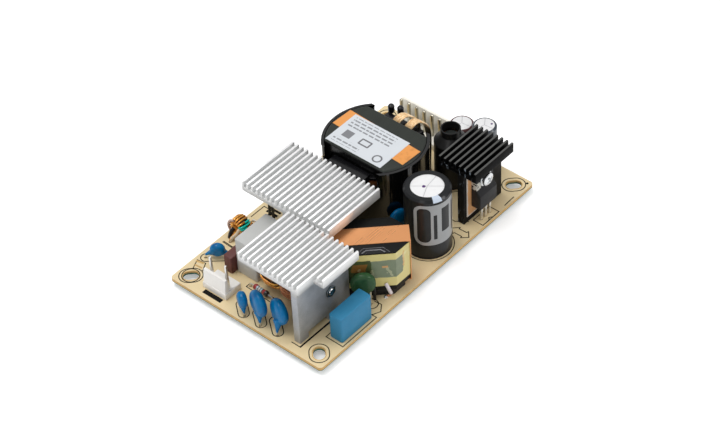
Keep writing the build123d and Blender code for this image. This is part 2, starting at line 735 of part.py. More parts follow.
# Leads of the fuse, of the box and can capacitors and of the output choke
with BuildPart() as part_leads:
    for at in pair(middle(FUSE_BOX), FUSE_PITCH):
        round_lead(at, 0, THIN_LEAD_R)
    for at in pair(middle(XCAP_BOX), XCAP_PITCH):
        round_lead(at, 0, LEAD_R)
    for at in pair(middle(FILM_BOX), FILM_PITCH):
        round_lead(at, 0, LEAD_R)
    for at in pair(BULK_AT, BULK_PITCH, 90):
        round_lead(at, 0, LEAD_R)
    for at in pair(BROWN_CAP[0], OUTPUT_CAP_PITCH, 90):
        round_lead(at, 0, THIN_LEAD_R)
    for at in pair(DARK_CAP[0], OUTPUT_CAP_PITCH, 90):
        round_lead(at, 0, THIN_LEAD_R)
    for at in pair(CHOKE_AT, 8.0):
        round_lead(at, 0, THICK_LEAD_R)
part_leads.part.label = "part_leads"


# Main transformer
with BuildPart() as transformer_core:
    with BuildSketch(above(TR_Z[0])):
        with Locations(TR_AT):
            Circle(TR_CORE_R)
            Rectangle(2 * TR_FLAT, 2 * TR_CORE_R, mode=Mode.INTERSECT)
    extrude(amount=TR_Z[1] - TR_Z[0])
    chamfer(transformer_core.edges().group_by(Axis.Z)[-1], TR_BEVEL)
    with BuildSketch(above(TR_Z[0] + TR_PLATE_H)):
        with Locations(TR_AT):
            Circle(TR_CORE_R - TR_LEG_T)
            Circle(TR_POST_R, mode=Mode.SUBTRACT)
    extrude(amount=TR_Z[1] - TR_Z[0] - 2 * TR_PLATE_H, mode=Mode.SUBTRACT)
transformer_core.part.label = "transformer_core"

tr_inner = (TR_Z[0] + TR_PLATE_H, TR_Z[1] - TR_PLATE_H)
with BuildPart() as transformer_bobbin:
    with BuildSketch(above(tr_inner[0] + 0.05)):
        with Locations(TR_AT):
            Circle(TR_POST_R + 1.1)
    extrude(amount=tr_inner[1] - tr_inner[0] - 0.1)
    for z in (tr_inner[0] + 0.05, tr_inner[1] - TR_FLANGE_T - 0.05):
        with BuildSketch(above(z)):
            with Locations(TR_AT):
                Circle(TR_CORE_R - TR_LEG_T - 0.2)
                Rectangle(2 * 18.2, 2 * 8.0)
        extrude(amount=TR_FLANGE_T)
    for side in (-1, 1):
        bar_x = TR_AT[0] + side * 15.9
        block((bar_x - 2.3, TR_AT[1] - 9.0), (bar_x + 2.3, TR_AT[1] + 9.0), tr_inner[1] - 1.15, tr_inner[1] + 1.6)
        block((bar_x - 2.3, TR_AT[1] - 13.0), (bar_x + 2.3, TR_AT[1] + 13.0), 0, 4.4)
        block((bar_x - 2.3, TR_AT[1] - 8.0), (bar_x + 2.3, TR_AT[1] + 8.0), 4.4, tr_inner[0] + 0.06)
    with BuildSketch(above(tr_inner[0])):
        with Locations(TR_AT):
            Circle(TR_POST_R + 0.1)
    extrude(amount=tr_inner[1] - tr_inner[0], mode=Mode.SUBTRACT)
transformer_bobbin.part.label = "transformer_bobbin"

with BuildPart() as transformer_winding:
    with BuildSketch(above(tr_inner[0] + TR_FLANGE_T + 0.1)):
        with Locations(TR_AT):
            Circle(TR_CORE_R - TR_LEG_T - 0.5)
            Circle(TR_POST_R + 1.15, mode=Mode.SUBTRACT)
    extrude(amount=tr_inner[1] - tr_inner[0] - 2 * TR_FLANGE_T - 0.2)
transformer_winding.part.label = "transformer_winding"

with BuildPart() as transformer_wrap:
    with BuildSketch(above(TR_WRAP_Z[0])):
        with Locations(TR_AT):
            Circle(TR_WRAP_R[1])
            Circle(TR_WRAP_R[0], mode=Mode.SUBTRACT)
    extrude(amount=TR_WRAP_Z[1] - TR_WRAP_Z[0])
    with BuildSketch(above(TR_WRAP_Z[1])):
        with Locations(TR_AT):
            Circle(TR_RIM_R)
            Circle(TR_WRAP_R[0] - 0.15, mode=Mode.SUBTRACT)
    extrude(amount=TR_RIM_H)
    for side in (-1, 1):
        with Locations((TR_AT[0] + side * 25.0, TR_AT[1], BOARD_T + 22.5)):
            Box(20.0, 2 * TR_RIM_R, 20.0, align=MIN, mode=Mode.SUBTRACT)
transformer_wrap.part.label = "transformer_wrap"

skew = radians(TR_TAPE_SKEW)
tape_mid = (TR_AT[0] + 0.4, (TR_TAPE_Y[0] + TR_TAPE_Y[1]) / 2)
with BuildPart() as transformer_tape:
    tape_plane = Plane(
        origin=(tape_mid[0], tape_mid[1], BOARD_T + TR_Z[1]), x_dir=(cos(skew), -sin(skew), 0), z_dir=(0, 0, 1)
    )
    with BuildSketch(tape_plane):
        Rectangle(TR_TAPE_W, TR_TAPE_Y[1] - TR_TAPE_Y[0] - 1.4)
    extrude(amount=TR_TAPE_T)
transformer_tape.part.label = "transformer_tape"

with BuildPart() as transformer_label:
    label_mid = ((TR_LABEL_X[0] + TR_LABEL_X[1]) / 2, (TR_LABEL_Y[0] + TR_LABEL_Y[1]) / 2)
    with BuildSketch(above(TR_Z[1] + TR_TAPE_T)):
        with Locations(label_mid):
            Rectangle(TR_LABEL_X[1] - TR_LABEL_X[0], TR_LABEL_Y[1] - TR_LABEL_Y[0])
    extrude(amount=TR_LABEL_T)
transformer_label.part.label = "transformer_label"

# Flat litz leads over the transformer's output side
with BuildPart() as transformer_litz:
    for y, far_y in ((8.4, 4.6), (2.4, -0.6)):
        start = (TR_AT[0] + TR_FLAT + 0.6, y, BOARD_T + tr_inner[1] + 2.4)
        mid = (TR_AT[0] + 17.2, (y + far_y) / 2 + 0.8, BOARD_T + 28.4)
        knee = (TR_AT[0] + 21.9, far_y, BOARD_T + 25.0)
        foot = (TR_AT[0] + 23.4, far_y - 0.4, BOARD_T + 6.0)
        with BuildLine() as route:
            FilletPolyline(start, mid, knee, foot, radius=2.0)
        leads.append(((foot[0], foot[1]), THICK_LEAD_R))
        with BuildSketch(Plane(origin=start, x_dir=(0, 1, 0), z_dir=route.line % 0)):
            Rectangle(LITZ_W, LITZ_T)
        sweep()
        upright(foot[:2], THICK_LEAD_R, LEAD_TIP, foot[2] + 0.2)
    for at in TR_SLEEVES:
        round_lead(at, TR_SLEEVE_Z[0], LEAD_R)
transformer_litz.part.label = "transformer_litz"

with BuildPart() as transformer_sleeves:
    for at in TR_SLEEVES:
        with BuildSketch(above(TR_SLEEVE_Z[0])):
            with Locations(at):
                RegularPolygon(TR_SLEEVE_R, 2 * LEAD_SIDES)
        extrude(amount=TR_SLEEVE_Z[1] - TR_SLEEVE_Z[0])
    chamfer(transformer_sleeves.faces().group_by(Axis.Z)[-1].edges(), 0.5)
transformer_sleeves.part.label = "transformer_sleeves"

# Rear heatsink
with BuildPart() as rear_heatsink:
    comb(REAR_FIN_0, REAR_FIN_PITCH, REAR_FINS, REAR_TIP_Z, REAR_BASE_Z, REAR_X)
    block((REAR_X[0], REAR_PLATE_Y[0]), (REAR_X[1], REAR_PLATE_Y[1]), 0, REAR_BASE_Z[1])
    for x, side in REAR_DEVICES:
        with Locations(Plane(origin=(x, REAR_PLATE_Y[0], BOARD_T + DEVICE_SCREW_Z), z_dir=(0, 1, 0))):
            Cylinder(SCREW_R, REAR_PLATE_Y[1] - REAR_PLATE_Y[0], align=MIN, mode=Mode.SUBTRACT)
    heatsink_feet(REAR_FOOT_X, REAR_PLATE_Y)
rear_heatsink.part.label = "rear_heatsink"

with BuildPart() as rear_devices:
    for x, side in REAR_DEVICES:
        face_y = REAR_PLATE_Y[0] if side < 0 else REAR_PLATE_Y[1]
        y_range = sorted((face_y, face_y + side * DEVICE_T))
        block((x - DEVICE_W / 2, y_range[0]), (x + DEVICE_W / 2, y_range[1]), DEVICE_Z[0], DEVICE_Z[1])
        with Locations(Plane(origin=(x, face_y, BOARD_T + DEVICE_SCREW_Z), z_dir=(0, side, 0))):
            Cylinder(SCREW_R + SCREW_GAP, DEVICE_T, align=MIN, mode=Mode.SUBTRACT)
rear_devices.part.label = "rear_devices"

# Pan head screws of the bridge rectifier and of the rear devices
with BuildPart() as device_screws:
    head_plane = Plane(
        origin=(FRONT_SCREW[0], FRONT_PLATE_Y[1] + BRIDGE_T, BOARD_T + FRONT_SCREW[1]), z_dir=(0, -1, 0)
    )
    with Locations(head_plane):
        Cylinder(SCREW_R, BRIDGE_T + FRONT_PLATE_Y[1] - FRONT_PLATE_Y[0] + NUT_H + 0.3, align=MIN)
        Cylinder(SCREW_HEAD_R, SCREW_HEAD_H, align=(Align.CENTER, Align.CENTER, Align.MAX))
    for x, side in REAR_DEVICES:
        face_y = REAR_PLATE_Y[0] if side < 0 else REAR_PLATE_Y[1]
        with Locations(
            Plane(origin=(x, face_y + side * DEVICE_T, BOARD_T + DEVICE_SCREW_Z), z_dir=(0, -side, 0))
        ):
            Cylinder(SCREW_R - 0.02, DEVICE_T + 2.8, align=MIN)
            Cylinder(SCREW_HEAD_R, SCREW_HEAD_H, align=(Align.CENTER, Align.CENTER, Align.MAX))
device_screws.part.label = "device_screws"

# Black heatsink
with BuildPart() as black_heatsink:
    comb(BLACK_FIN_0, BLACK_FIN_PITCH, BLACK_FINS, BLACK_TIP_Z, BLACK_BASE_Z, BLACK_X)
    block((BLACK_X[0], BLACK_PLATE_Y[0]), (BLACK_X[1], BLACK_PLATE_Y[1]), 0, BLACK_BASE_Z[1])
    with Locations(Plane(origin=(POWER_X, BLACK_PLATE_Y[0], BOARD_T + POWER_SCREW_Z), z_dir=(0, 1, 0))):
        Cylinder(SCREW_R, BLACK_PLATE_Y[1] - BLACK_PLATE_Y[0], align=MIN, mode=Mode.SUBTRACT)
    heatsink_feet(BLACK_FOOT_X, BLACK_PLATE_Y)
black_heatsink.part.label = "black_heatsink"

pad_y = BLACK_PLATE_Y[0]
power_y = pad_y - PAD_T
with BuildPart() as insulating_pad:
    block((PAD_X[0], pad_y - PAD_T), (PAD_X[1], pad_y), PAD_Z[0], PAD_Z[1])
    with Locations(Plane(origin=(POWER_X, pad_y, BOARD_T + POWER_SCREW_Z), z_dir=(0, -1, 0))):
        Cylinder(SCREW_R + SCREW_GAP, PAD_T, align=MIN, mode=Mode.SUBTRACT)
insulating_pad.part.label = "insulating_pad"

with BuildPart() as power_transistor:
    power_plane = Plane(origin=(POWER_X - POWER_W / 2, 0, 0), x_dir=(0, 1, 0), z_dir=(1, 0, 0))
    with BuildSketch(power_plane):
        with BuildLine():
            Polyline(
                (power_y, BOARD_T + POWER_Z[0]),
                (power_y - POWER_T, BOARD_T + POWER_Z[0]),
                (power_y - POWER_T, BOARD_T + POWER_Z[1]),
                (power_y - POWER_TAB_T, BOARD_T + POWER_Z[2]),
                (power_y - POWER_TAB_T, BOARD_T + POWER_Z[3]),
                (power_y, BOARD_T + POWER_Z[3]),
                close=True,
            )
        make_face()
    extrude(amount=POWER_W)
    with Locations(Plane(origin=(POWER_X, power_y, BOARD_T + POWER_SCREW_Z), z_dir=(0, -1, 0))):
        Cylinder(SCREW_R + SCREW_GAP, POWER_T, align=MIN, mode=Mode.SUBTRACT)
power_transistor.part.label = "power_transistor"

# Leads of the bridge rectifier and of the power devices
with BuildPart() as device_leads:
    for k in range(4):
        x = FRONT_SCREW[0] + (k - 1.5) * BRIDGE_PITCH
        round_lead((x, FRONT_PLATE_Y[1] + BRIDGE_T / 2), BRIDGE_Z[0], THICK_LEAD_R)
    for x, side in REAR_DEVICES:
        face_y = REAR_PLATE_Y[0] if side < 0 else REAR_PLATE_Y[1]
        for k in (-1, 0, 1):
            round_lead((x + k * POWER_LEAD_PITCH, face_y + side * 2.2), DEVICE_Z[0], THIN_LEAD_R)
    for k in (-1, 0, 1):
        round_lead((POWER_X + k * POWER_LEAD_PITCH, POWER_LEAD_Y), POWER_Z[0], THIN_LEAD_R)
device_leads.part.label = "device_leads"

washer_y = power_y - POWER_TAB_T
with BuildPart() as transistor_washer:
    with Locations(Plane(origin=(POWER_X, washer_y, BOARD_T + POWER_SCREW_Z), z_dir=(0, -1, 0))):
        Cylinder(WASHER_R, WASHER_T, align=MIN)
        Cylinder(SCREW_R + SCREW_GAP, WASHER_T, align=MIN, mode=Mode.SUBTRACT)
transistor_washer.part.label = "transistor_washer"

with BuildPart() as transistor_screw:
    screw_y = washer_y - WASHER_T
    with Locations(Plane(origin=(POWER_X, screw_y, BOARD_T + POWER_SCREW_Z), z_dir=(0, 1, 0))):
        Cylinder(SCREW_R - 0.02, WASHER_T + POWER_TAB_T + PAD_T + 2.8, align=MIN)
        Cylinder(SCREW_HEAD_R, SCREW_HEAD_H, align=(Align.CENTER, Align.CENTER, Align.MAX))
    chamfer(transistor_screw.edges().filter_by(GeomType.CIRCLE).group_by(Axis.Y)[0], 0.7)
transistor_screw.part.label = "transistor_screw"

# Output choke: wound rod inside a shrunk sleeve that is open at the top
with BuildPart() as output_choke_winding:
    with Locations((CHOKE_AT[0], CHOKE_AT[1], BOARD_T)):
        Cylinder(CHOKE_BODY_R - CHOKE_SLEEVE_T - 0.1, CHOKE_SHOULDER_Z - 0.6, align=MIN)
    with Locations((CHOKE_AT[0], CHOKE_AT[1], BOARD_T)):
        Cylinder(3.05, CHOKE_SHOULDER_Z, align=MIN, mode=Mode.SUBTRACT)
output_choke_winding.part.label = "output_choke_winding"

with BuildPart() as output_choke_rod:
    with Locations((CHOKE_AT[0], CHOKE_AT[1], BOARD_T)):
        Cylinder(3.0, CHOKE_NECK_Z - 0.8, align=MIN)
output_choke_rod.part.label = "output_choke_rod"

with BuildPart() as output_choke_sleeve:
    body, neck, wall = CHOKE_BODY_R, CHOKE_NECK_R, CHOKE_SLEEVE_T
    with BuildSketch(Plane(origin=(CHOKE_AT[0], CHOKE_AT[1], BOARD_T), x_dir=(1, 0, 0), z_dir=(0, -1, 0))):
        with BuildLine():
            Polyline(
                (body - wall, 0.6),
                (body, 0.6),
                (body, CHOKE_SHOULDER_Z),
                (neck, CHOKE_NECK_Z),
                (neck, CHOKE_TOP_Z),
                (neck - wall, CHOKE_TOP_Z),
                (neck - wall, CHOKE_NECK_Z - 0.4),
                (body - wall, CHOKE_SHOULDER_Z - 0.4),
                close=True,
            )
        make_face()
    revolve(axis=Axis((CHOKE_AT[0], CHOKE_AT[1], 0), (0, 0, 1)))
output_choke_sleeve.part.label = "output_choke_sleeve"

# Output header
out_ends = (OUT_FIRST_Y - OUT_PITCH * (OUT_WAYS - 0.5), OUT_FIRST_Y + OUT_PITCH / 2)
out_pins_y = [OUT_FIRST_Y - k * OUT_PITCH for k in range(OUT_WAYS)]
with BuildPart() as output_housing:
    block((OUT_OUTER_X - HEADER_DEPTH, out_ends[0]), (OUT_OUTER_X, out_ends[1]), 0, HEADER_BASE_H)
    with BuildSketch(Plane(origin=(0, out_ends[1] - 0.3, 0), x_dir=(1, 0, 0), z_dir=(0, -1, 0))):
        with BuildLine():
            Polyline(*wall_outline(OUT_OUTER_X, -1), close=True)
        make_face()
    extrude(amount=out_ends[1] - out_ends[0] - 0.6)
    with Locations(*[(OUT_PIN_X, y, BOARD_T) for y in out_pins_y]):
        Box(HEADER_PIN + 0.04, HEADER_PIN + 0.04, HEADER_BASE_H, align=MIN, mode=Mode.SUBTRACT)
output_housing.part.label = "output_housing"

with BuildPart() as output_pins:
    leads.extend(((OUT_PIN_X, y), HEADER_PIN / sqrt(2)) for y in out_pins_y)
    with Locations(*[(OUT_PIN_X, y, PIN_TIP) for y in out_pins_y]):
        Box(HEADER_PIN, HEADER_PIN, BOARD_T + HEADER_PIN_H - PIN_TIP, align=MIN)
    chamfer(output_pins.faces().group_by(Axis.Z)[-1].edges(), 0.25)
output_pins.part.label = "output_pins"

# Temperature sensor on two sleeved leads
with BuildPart() as temperature_sensor:
    for at in SENSOR_LEADS:
        round_lead(at, SENSOR_H, 0.6)
    mid = ((SENSOR_LEADS[0][0] + SENSOR_LEADS[1][0]) / 2, (SENSOR_LEADS[0][1] + SENSOR_LEADS[1][1]) / 2)
    with Locations((mid[0], mid[1], BOARD_T + SENSOR_H)):
        Cylinder(1.9, 3.0, align=MIN)
temperature_sensor.part.label = "temperature_sensor"

# Wire link
with BuildPart() as wire_link:
    (ax, ay), (bx, by) = LINK_ENDS
    with BuildLine():
        FilletPolyline(
            (ax, ay, LEAD_TIP),
            (ax, ay, BOARD_T + 0.7),
            (bx, by, BOARD_T + 0.7),
            (bx, by, LEAD_TIP),
            radius=0.5,
        )
    with BuildSketch(Plane.XY.offset(LEAD_TIP)):
        with Locations((ax, ay)):
            RegularPolygon(THIN_LEAD_R, LEAD_SIDES)
    sweep()
    leads.append(((ax, ay), THIN_LEAD_R))
    leads.append(((bx, by), THIN_LEAD_R))
wire_link.part.label = "wire_link"

lead_sizes = {}
for at, radius in leads:
    lead_sizes.setdefault(radius, []).append(at)

# Circuit board with its corner slots and a hole for each lead
with BuildPart() as circuit_board:
    with BuildSketch():
        RectangleRounded(BOARD_X, BOARD_Y, BOARD_CORNER_R)
        for sx in (-1, 1):
            for sy in (-1, 1):
                with Locations((sx * (BOARD_X / 2 - SLOT_INSET), sy * (BOARD_Y / 2 - SLOT_INSET))):
                    SlotCenterToCenter(SLOT_TRAVEL, SLOT_WIDTH, rotation=45 * sx * sy, mode=Mode.SUBTRACT)
        for radius, places in lead_sizes.items():
            with Locations(*places):
                RegularPolygon(radius + LEAD_GAP, LEAD_SIDES, major_radius=False, mode=Mode.SUBTRACT)
    extrude(amount=BOARD_T)
circuit_board.part.label = "circuit_board"

# Solder round each lead under the board
solder_shapes = {radius: solder_cone(radius) for radius in lead_sizes}
with BuildPart() as solder_joints:
    for radius, places in lead_sizes.items():
        with Locations(*places):
            add(solder_shapes[radius])
solder_joints.part.label = "solder_joints"

# Small chips on the underside
with BuildPart() as underside_chips:
    for x, y, w, d in ((-20, -3, 10, 6), (8, -20, 5, 4), (30, 20, 10, 4), (-5, 20, 3.2, 1.6), (-10, 20, 3.2, 1.6)):
        with Locations((x, y, 0)):
            Box(w, d, 1.4, align=(Align.CENTER, Align.CENTER, Align.MAX))
underside_chips.part.label = "underside_chips"

pieces = (
    inlet_housing, inlet_pins, fuse_case, x_capacitor_case, film_capacitor_case, part_leads,
    inlet_disc, line_discs, snubber_disc, disc_leads, discharge_resistor, resistor_leads,
    small_choke_core, small_choke_winding, line_choke_cores, line_choke_windings, choke_leads,
    front_heatsink, bridge_rectifier, bridge_nut, thermistor_disc, thermistor_leads,
    boost_core, boost_winding, boost_bobbin, boost_foot, boost_tape, boost_band, bobbin_pins,
    bulk_capacitor_can, bulk_capacitor_sleeve, brown_capacitor, dark_capacitor,
    transformer_core, transformer_bobbin, transformer_winding, transformer_wrap, transformer_tape,
    transformer_label, transformer_litz, transformer_sleeves,
    rear_heatsink, rear_devices, device_leads, device_screws,
    black_heatsink, insulating_pad, power_transistor, transistor_washer, transistor_screw,
    output_choke_winding, output_choke_rod, output_choke_sleeve, output_housing, output_pins,
    temperature_sensor, wire_link, circuit_board, solder_joints, underside_chips,
)
os.makedirs("parts", exist_ok=True)
for piece in pieces:
    export_step(piece.part, "parts/" + piece.part.label + ".step")
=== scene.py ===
"""Looks of an open frame power supply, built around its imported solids.

Lengths in the classes are millimetres in the object's own frame. The origin is the centre
of the board's underside, +X runs to the output header, +Y to the rear edge and +Z is up.
"""

import logging
import math
from dataclasses import dataclass
from enum import Enum

import bmesh
import bpy
from mathutils import Matrix, Vector


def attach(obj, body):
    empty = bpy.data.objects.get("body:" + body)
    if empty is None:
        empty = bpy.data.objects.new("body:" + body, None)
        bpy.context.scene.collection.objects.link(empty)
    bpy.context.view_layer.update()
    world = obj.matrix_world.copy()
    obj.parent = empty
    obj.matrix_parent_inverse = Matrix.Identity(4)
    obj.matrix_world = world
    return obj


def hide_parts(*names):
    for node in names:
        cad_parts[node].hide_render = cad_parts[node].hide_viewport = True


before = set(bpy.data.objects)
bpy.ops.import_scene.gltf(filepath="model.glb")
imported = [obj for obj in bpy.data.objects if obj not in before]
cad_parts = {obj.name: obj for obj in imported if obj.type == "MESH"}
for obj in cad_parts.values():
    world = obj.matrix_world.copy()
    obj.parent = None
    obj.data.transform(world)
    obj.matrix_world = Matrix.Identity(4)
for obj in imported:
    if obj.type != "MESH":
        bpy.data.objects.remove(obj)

MM = 0.001
BOARD_TOP = 1.6
SLOT_CENTRE = (57.86, 32.46)
BULK_CENTRE = (11.8, -27.1)
BOOST_CENTRE = (-16.6, -22.6)
BOOST_TURN = -45.6
BOOST_TOP = 24.1
TRANSISTOR_X = 37.2
Colour = tuple[float, float, float]
Point = tuple[float, float]
Place = tuple[float, float, float]
Shape = bmesh.types.BMesh
log = logging.getLogger("power_supply")


class Socket:
    """A node's output that adds Math nodes when it is used in an expression."""

    def __init__(self, graph: "Graph", output: bpy.types.NodeSocket) -> None:
        """Wraps one output socket of a graph."""
        self.graph = graph
        self.output = output

    def __add__(self, other: "Socket | float") -> "Socket":
        """self + other."""
        return self.graph.maths("ADD", self, other)

    __radd__ = __add__

    def __sub__(self, other: "Socket | float") -> "Socket":
        """self - other."""
        return self.graph.maths("SUBTRACT", self, other)

    def __rsub__(self, other: float) -> "Socket":
        """other - self."""
        return self.graph.maths("SUBTRACT", other, self)

    def __mul__(self, other: "Socket | float") -> "Socket":
        """self * other."""
        return self.graph.maths("MULTIPLY", self, other)

    __rmul__ = __mul__

    def __truediv__(self, other: "Socket | float") -> "Socket":
        """self / other."""
        return self.graph.maths("DIVIDE", self, other)

    def __gt__(self, other: "Socket | float") -> "Socket":
        """1 where self is above other, else 0."""
        return self.graph.maths("GREATER_THAN", self, other)

    def __lt__(self, other: "Socket | float") -> "Socket":
        """1 where self is below other, else 0."""
        return self.graph.maths("LESS_THAN", self, other)

    def apply(self, operation: str, *others: "Socket | float") -> "Socket":
        """Any other Math operation with self as its first value."""
        return self.graph.maths(operation, self, *others)

    def between(self, low: float, high: float) -> "Socket":
        """1 where self lies between two values, else 0."""
        return (self > low) * (self < high)

    def held(self, low: float, high: float) -> "Socket":
        """self kept between two values."""
        return self.apply("MINIMUM", high).apply("MAXIMUM", low)


class Graph:
    """Adds nodes to one material's or one geometry group's tree."""

    def __init__(self, tree: bpy.types.NodeTree) -> None:
        """Takes the tree that the nodes go into."""
        self.tree = tree

    def node(self, kind: str, settings: dict | None = None, inputs: dict | None = None) -> bpy.types.Node:
        """Adds one node.

        Args:
            kind: The node's type.
            settings: Properties set first; "stops" fills a colour ramp.
            inputs: Values or links by socket name or number.

        Returns:
            The new node.
        """
        made = self.tree.nodes.new(kind)
        for name, value in (settings or {}).items():
            if name == "stops":
                ramp = made.color_ramp
                while len(ramp.elements) < len(value):
                    ramp.elements.new(0.5)
                for element, (position, colour) in zip(ramp.elements, value):
                    element.position = position
                    element.color = (*colour, 1.0)
            else:
                setattr(made, name, value)
        for name, value in (inputs or {}).items():
            self.fill(made.inputs[name], value)
        return made

    def fill(self, target: bpy.types.NodeSocket, value: object) -> None:
        """Links a node's input to another node's output, or sets it to a value.

        Args:
            target: The input that is filled.
            value: A Socket or a plain output to link, or else a number, a colour or data.
        """
        source = value.output if isinstance(value, Socket) else value
        if isinstance(source, bpy.types.NodeSocket):
            self.tree.links.new(source, target)
        elif isinstance(source, tuple) and target.type == "RGBA":
            target.default_value = (*source, 1.0)
        else:
            target.default_value = source

    def maths(self, operation: str, *values: "Socket | float") -> Socket:
        """One Math node on up to three values."""
        settings = {"operation": operation}
        return Socket(self, self.node("ShaderNodeMath", settings, dict(enumerate(values))).outputs[0])


class Surface(Graph):
    """The shader tree of one finish, with the place on the object in millimetres."""

    def __init__(self, name: str) -> None:
        """Starts a material with an empty Principled shader.

        Args:
            name: The material's name.
        """
        self.material = bpy.data.materials.new(name)
        self.material.use_nodes = True
        super().__init__(self.material.node_tree)
        self.tree.nodes.clear()
        self.shader = self.node("ShaderNodeBsdfPrincipled")
        self.node("ShaderNodeOutputMaterial", inputs={"Surface": self.shader.outputs[0]})
        place = self.node("ShaderNodeTexCoord").outputs["Object"]
        scaled = self.node("ShaderNodeVectorMath", {"operation": "SCALE"}, {0: place, "Scale": 1 / MM})
        self.place = scaled.outputs[0]
        parts = self.node("ShaderNodeSeparateXYZ", inputs={0: self.place}).outputs
        self.x, self.y, self.z = (Socket(self, part) for part in parts)

    def set(self, **values: "Socket | float | tuple") -> None:
        """Sets or links the shader's sockets; underscores stand for spaces."""
        for name, value in values.items():
            self.fill(self.shader.inputs[name.replace("_", " ")], value)

    def noise(self, size: float, detail: float = 3.0, stretch: Place = (1.0, 1.0, 1.0)) -> Socket:
        """Soft noise from 0 to 1.

        Args:
            size: About how wide its lumps are.
            detail: How many finer layers lie on them.
            stretch: Factors on the place; below 1 draws the lumps out along that axis.

        Returns:
            The noise.
        """
        stretched = self.node("ShaderNodeVectorMath", {"operation": "MULTIPLY"}, {0: self.place, 1: stretch})
        values = {"Vector": stretched.outputs[0], "Scale": 1 / size, "Detail": detail}
        return Socket(self, self.node("ShaderNodeTexNoise", inputs=values).outputs[0])

    def spots(self, size: float) -> Socket:
        """Distance to the nearest of many scattered points, about size millimetres apart."""
        values = {"Vector": self.place, "Scale": 1 / size}
        return Socket(self, self.node("ShaderNodeTexVoronoi", inputs=values).outputs[0])

    def ease(self, value: Socket, low: float, high: float) -> Socket:
        """Runs smoothly from 0 at low to 1 at high.

        Args:
            value: What is compared with the two ends.
            low: Where the result is still 0.
            high: Where the result has come to 1.

        Returns:
            The eased value.
        """
        settings = {"interpolation_type": "SMOOTHSTEP"}
        values = {"Value": value, "From Min": low, "From Max": high}
        return Socket(self, self.node("ShaderNodeMapRange", settings, values).outputs[0])

    def mix(self, share: "Socket | float", first: "Socket | tuple", second: "Socket | tuple") -> Socket:
        """Mixes two colours; share 0 gives the first and 1 the second."""
        made = self.node("ShaderNodeMix", {"data_type": "RGBA"}, {0: share, 6: first, 7: second})
        return Socket(self, made.outputs[2])

    def tone(self, colour: Colour, share: Socket, spread: float) -> Socket:
        """A colour that swings from darker to lighter.

        Args:
            colour: The colour in the middle of the swing.
            share: 0 gives the darkest and 1 the lightest.
            spread: How far the swing goes each way, as a share of the colour.

        Returns:
            The swung colour.
        """
        dark = tuple(part * (1 - spread) for part in colour)
        light = tuple(min(1.0, part * (1 + spread)) for part in colour)
        return self.mix(share, dark, light)

    def bump(self, height: Socket, depth: float) -> None:
        """Raises the surface by height, from 0 to 1, times a depth in millimetres."""
        values = {"Height": height, "Distance": depth * MM}
        self.set(Normal=Socket(self, self.node("ShaderNodeBump", inputs=values).outputs[0]))

    def away(self, u: Socket, v: Socket) -> Socket:
        """Distance from the origin of u and v."""
        return (u * u + v * v).apply("SQRT")

    def panel(self, u: Socket, v: Socket, half: Point, corner: float) -> Socket:
        """Signed distance from a rounded rectangle about the origin of u and v.

        Args:
            u: The place across it.
            v: The place up it.
            half: Half its width and half its height.
            corner: The radius of its corners.

        Returns:
            The distance, which is below 0 inside.
        """
        du = u.apply("ABSOLUTE") - (half[0] - corner)
        dv = v.apply("ABSOLUTE") - (half[1] - corner)
        outside = self.away(du.apply("MAXIMUM", 0.0), dv.apply("MAXIMUM", 0.0))
        return outside + du.apply("MAXIMUM", dv).apply("MINIMUM", 0.0) - corner


@dataclass(frozen=True)
class Finish:
    """A surface finish: its name, its colour and how rough it is."""

    name: str
    colour: Colour
    roughness: float = 0.5

    def material(self) -> bpy.types.Material:
        """Makes the finish's material at its first use.

        Returns:
            The material.
        """
        name = "finish_" + self.name
        if name in bpy.data.materials:
            return bpy.data.materials[name]
        surface = Surface(name)
        surface.set(Base_Color=self.colour, Roughness=self.roughness)
        self.dress(surface)
        return surface.material

    def dress(self, surface: Surface) -> None:
        """Adds what sets this finish apart from a plain colour.

        Args:
            surface: Its shader tree.
        """


@dataclass(frozen=True)
class Moulded(Finish):
    """Moulded plastic: faint clouds, a fine skin, and rubbed spots that shine a little more."""

    cloud: float = 0.06
    skin: float = 0.012
    skin_size: float = 0.35
    coat: float = 0.0
    shine: float = 0.28

    def dress(self, surface: Surface) -> None:
        """Clouds the colour and roughens the skin.

        Args:
            surface: Its shader tree.
        """
        cloud = surface.noise(5.0)
        surface.set(
            Base_Color=surface.tone(self.colour, cloud, self.cloud),
            Roughness=(surface.noise(1.6) - 0.5) * 0.22 + self.roughness,
            Coat_Weight=self.coat,
            Coat_Roughness=0.08,
            Specular_IOR_Level=self.shine,
        )
        surface.bump(surface.noise(self.skin_size, 2.0), self.skin)


@dataclass(frozen=True)
class Dipped(Finish):
    """A dipped epoxy coating: glossy, a little wavy, darker where it runs thin."""

    thin: Colour = (0.0, 0.0, 0.0)
    wave: float = 0.09

    def dress(self, surface: Surface) -> None:
        """Waves the skin and lets the thin colour through in places.

        Args:
            surface: Its shader tree.
        """
        thin = surface.ease(surface.noise(3.4), 0.5, 0.72)
        speck = surface.ease(surface.spots(1.9), 0.1, 0.03)
        shade = surface.mix(thin * 0.55, self.colour, self.thin)
        surface.set(
            Base_Color=surface.mix(speck * 0.35, shade, self.thin),
            Roughness=(surface.noise(2.0) - 0.5) * 0.12 + self.roughness,
            Specular_IOR_Level=0.08,
            Coat_Weight=0.35,
            Coat_Roughness=0.04,
        )
        surface.bump(surface.noise(1.5, 1.5), self.wave)


